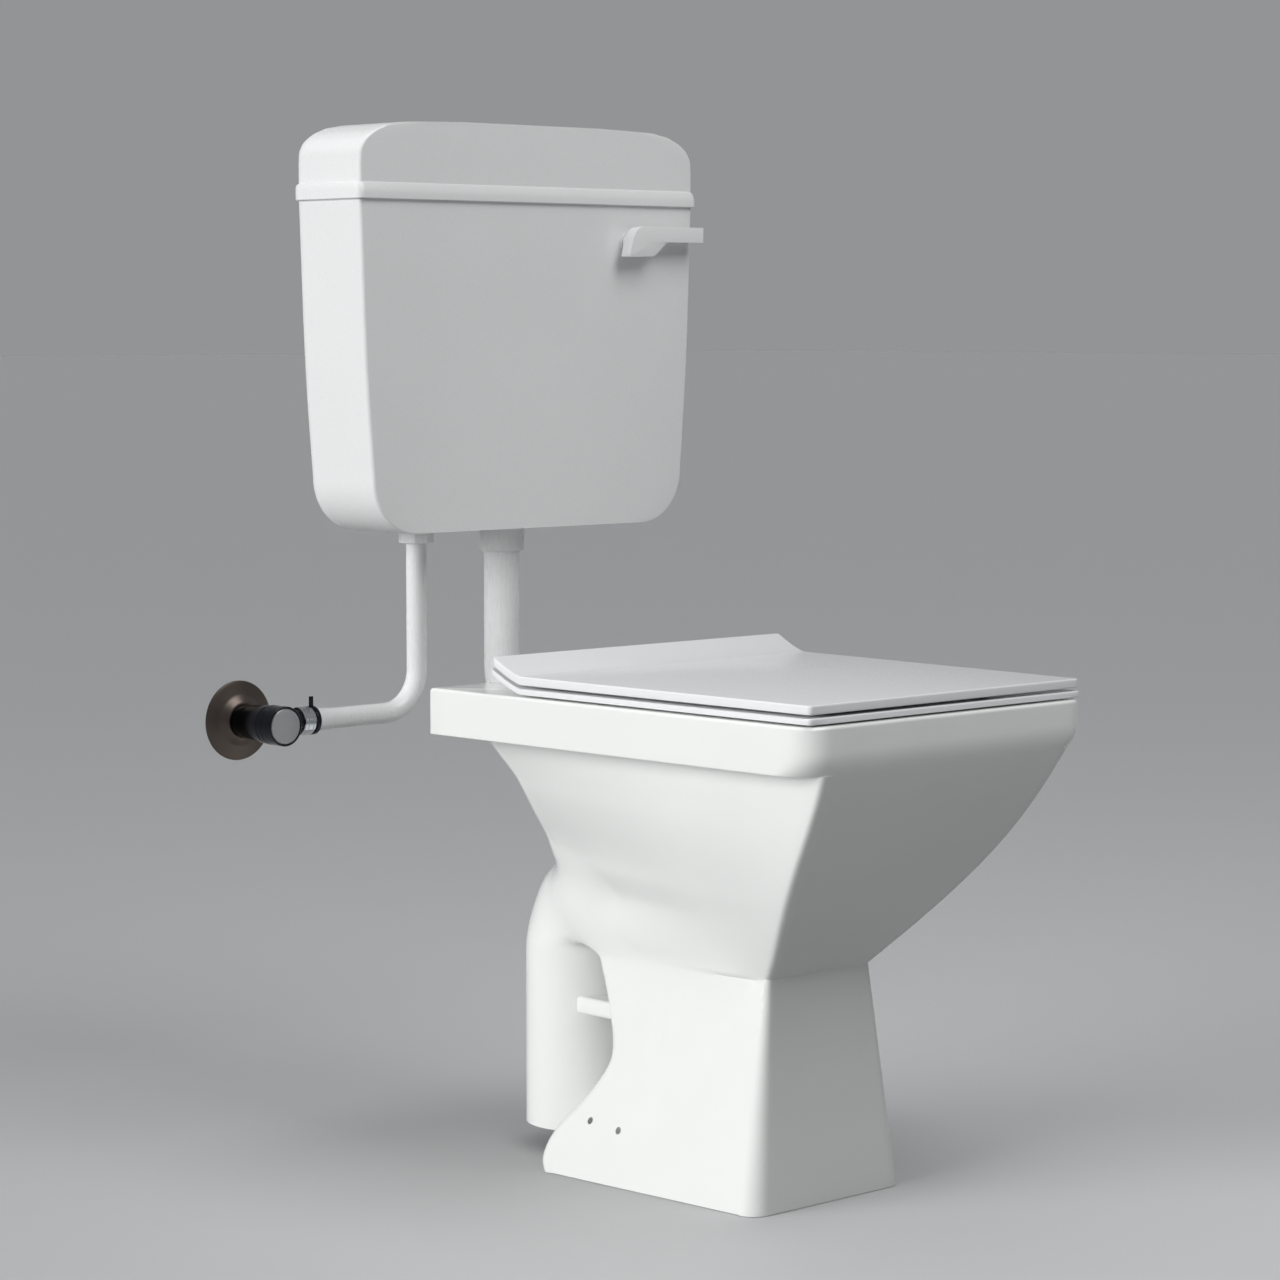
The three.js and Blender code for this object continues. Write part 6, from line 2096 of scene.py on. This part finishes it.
@dataclass
class Studio:
    """Pale floor, soft lamps and the photograph's camera."""

    camera_place: Place = (-2125.3, -1914.4, 724.3)
    yaw: float = 43.0
    pitch: float = 5.03
    lens: float = 102.22
    floor_reach: float = 60.0
    floor_colour: str = "#CFD0D1"
    floor_bounce: str = "#8C8D8E"
    backdrop_colour: str = "#939495"
    sky_colour: str = "#C4C6C8"
    sky_strength: float = 0.2

    def lamp(self, name: str, place: Place, aim: Place, size: float, power: float) -> None:
        """Adds a soft square lamp, turned to its aim.

        Args:
            name: the lamp's name.
            place: where it stands, in metres.
            aim: what it shines at, in metres.
            size: its side, in metres.
            power: in watts.
        """
        data = bpy.data.lights.new(name, "AREA")
        data.size = size
        data.energy = power
        made = add_object(name, data)
        made.location = place
        made.rotation_euler = (Vector(aim) - Vector(place)).to_track_quat("-Z", "Y").to_euler()

    def sun(self, name: str, place: Place, spread: float, strength: float) -> None:
        """Adds an even light from a side, which no glaze mirrors.

        Args:
            name: the light's name.
            place: the direction that it comes from.
            spread: the angle that softens it, in radians.
            strength: in watts for a square metre.
        """
        data = bpy.data.lights.new(name, "SUN")
        data.angle = spread
        data.energy = strength
        made = add_object(name, data)
        made.rotation_euler = (-Vector(place)).to_track_quat("-Z", "Y").to_euler()
        made.visible_glossy = False

    def seen(self, tree: bpy.types.NodeTree) -> bpy.types.NodeSocket:
        """Adds a value that is 1 where the camera sees a surface, also in a mirror or glass.

        Args:
            tree: the node tree.

        Returns:
            The output with that value: the greatest of three ray kinds.
        """
        seen = add_node(tree, "LightPath", "Is Camera Ray")
        rays = seen.node.outputs
        for kind in ("Is Glossy Ray", "Is Transmission Ray"):
            links = {0: seen, 1: rays[kind]}
            seen = add_node(tree, "Math", "Value", {"operation": "MAXIMUM"}, links)
        return seen

    def floor(self) -> None:
        """Adds the pale floor, whose bounce on the piece is that of a middle grey."""
        mesh = bpy.data.meshes.new("studio_floor")
        r = self.floor_reach
        mesh.from_pydata([(-r, -r, 0), (r, -r, 0), (r, r, 0), (-r, r, 0)], [], [(0, 1, 2, 3)])
        made = add_object("studio_floor", mesh)
        material = bpy.data.materials.new("studio_floor_paint")
        material.use_nodes = True
        tree = material.node_tree
        bounce, shown = linear(self.floor_bounce), linear(self.floor_colour)
        tones = {"data_type": "RGBA", MIX_A: bounce, MIX_B: shown}
        colour = add_node(tree, "Mix", MIX_RESULT, tones, {"Factor": self.seen(tree)})
        wire(tree, tree.nodes["Principled BSDF"], {"Roughness": 0.7}, {"Base Color": colour})
        made.data.materials.append(material)
        made.location.z = -0.5 * MM

    def world(self) -> None:
        """Sets a soft grey surround that the camera sees as a pale backdrop."""
        world = bpy.data.worlds.new("studio_world")
        bpy.context.scene.world = world
        world.use_nodes = True
        tree = world.node_tree
        light = tree.nodes["Background"]
        wire(tree, light, {"Color": linear(self.sky_colour), "Strength": self.sky_strength}, {})
        plain = {"Color": linear(self.backdrop_colour), "Strength": 1.0}
        backdrop = add_node(tree, "Background", "Background", plain)
        links = {"Fac": self.seen(tree), 1: light.outputs["Background"], 2: backdrop}
        chosen = add_node(tree, "MixShader", "Shader", None, links)
        wire(tree, tree.nodes["World Output"], {}, {"Surface": chosen})

    def camera(self) -> None:
        """Adds the camera of the photograph's view."""
        data = bpy.data.cameras.new("camera")
        data.lens = self.lens
        data.sensor_width = 36
        data.clip_end = 200
        made = add_object("camera", data)
        made.location = to_row(np.array(self.camera_place)).tolist()
        made.rotation_euler = (math.radians(90 - self.pitch), 0, math.radians(-self.yaw))
        bpy.context.scene.camera = made

    def build(self) -> None:
        """Sets the floor, lamps, surround and camera."""
        self.floor()
        self.world()
        self.camera()
        self.sun("key_from_left", (-1.0, 0.2, 0.07), spread=1.0, strength=4.7)
        self.sun("ceiling", (0.0, 0.0, 1.0), spread=1.0, strength=0.42)
        self.lamp("fill_from_front", (0.2, -1.1, 2.3), (0.0, 0.2, 0.8), size=1.4, power=25.0)
        bpy.context.scene.view_settings.view_transform = "Standard"


def main() -> None:
    """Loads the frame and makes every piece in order."""
    logging.basicConfig(level=logging.INFO, format="%(name)s %(message)s")
    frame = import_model()
    pan, cistern = Pan(), Cistern()
    pan.build()
    Seat().build()
    cistern.build()
    Pipework(pan, cistern).build()
    Fittings(frame).build()
    Studio().build()


if __name__ == "__main__":
    main()
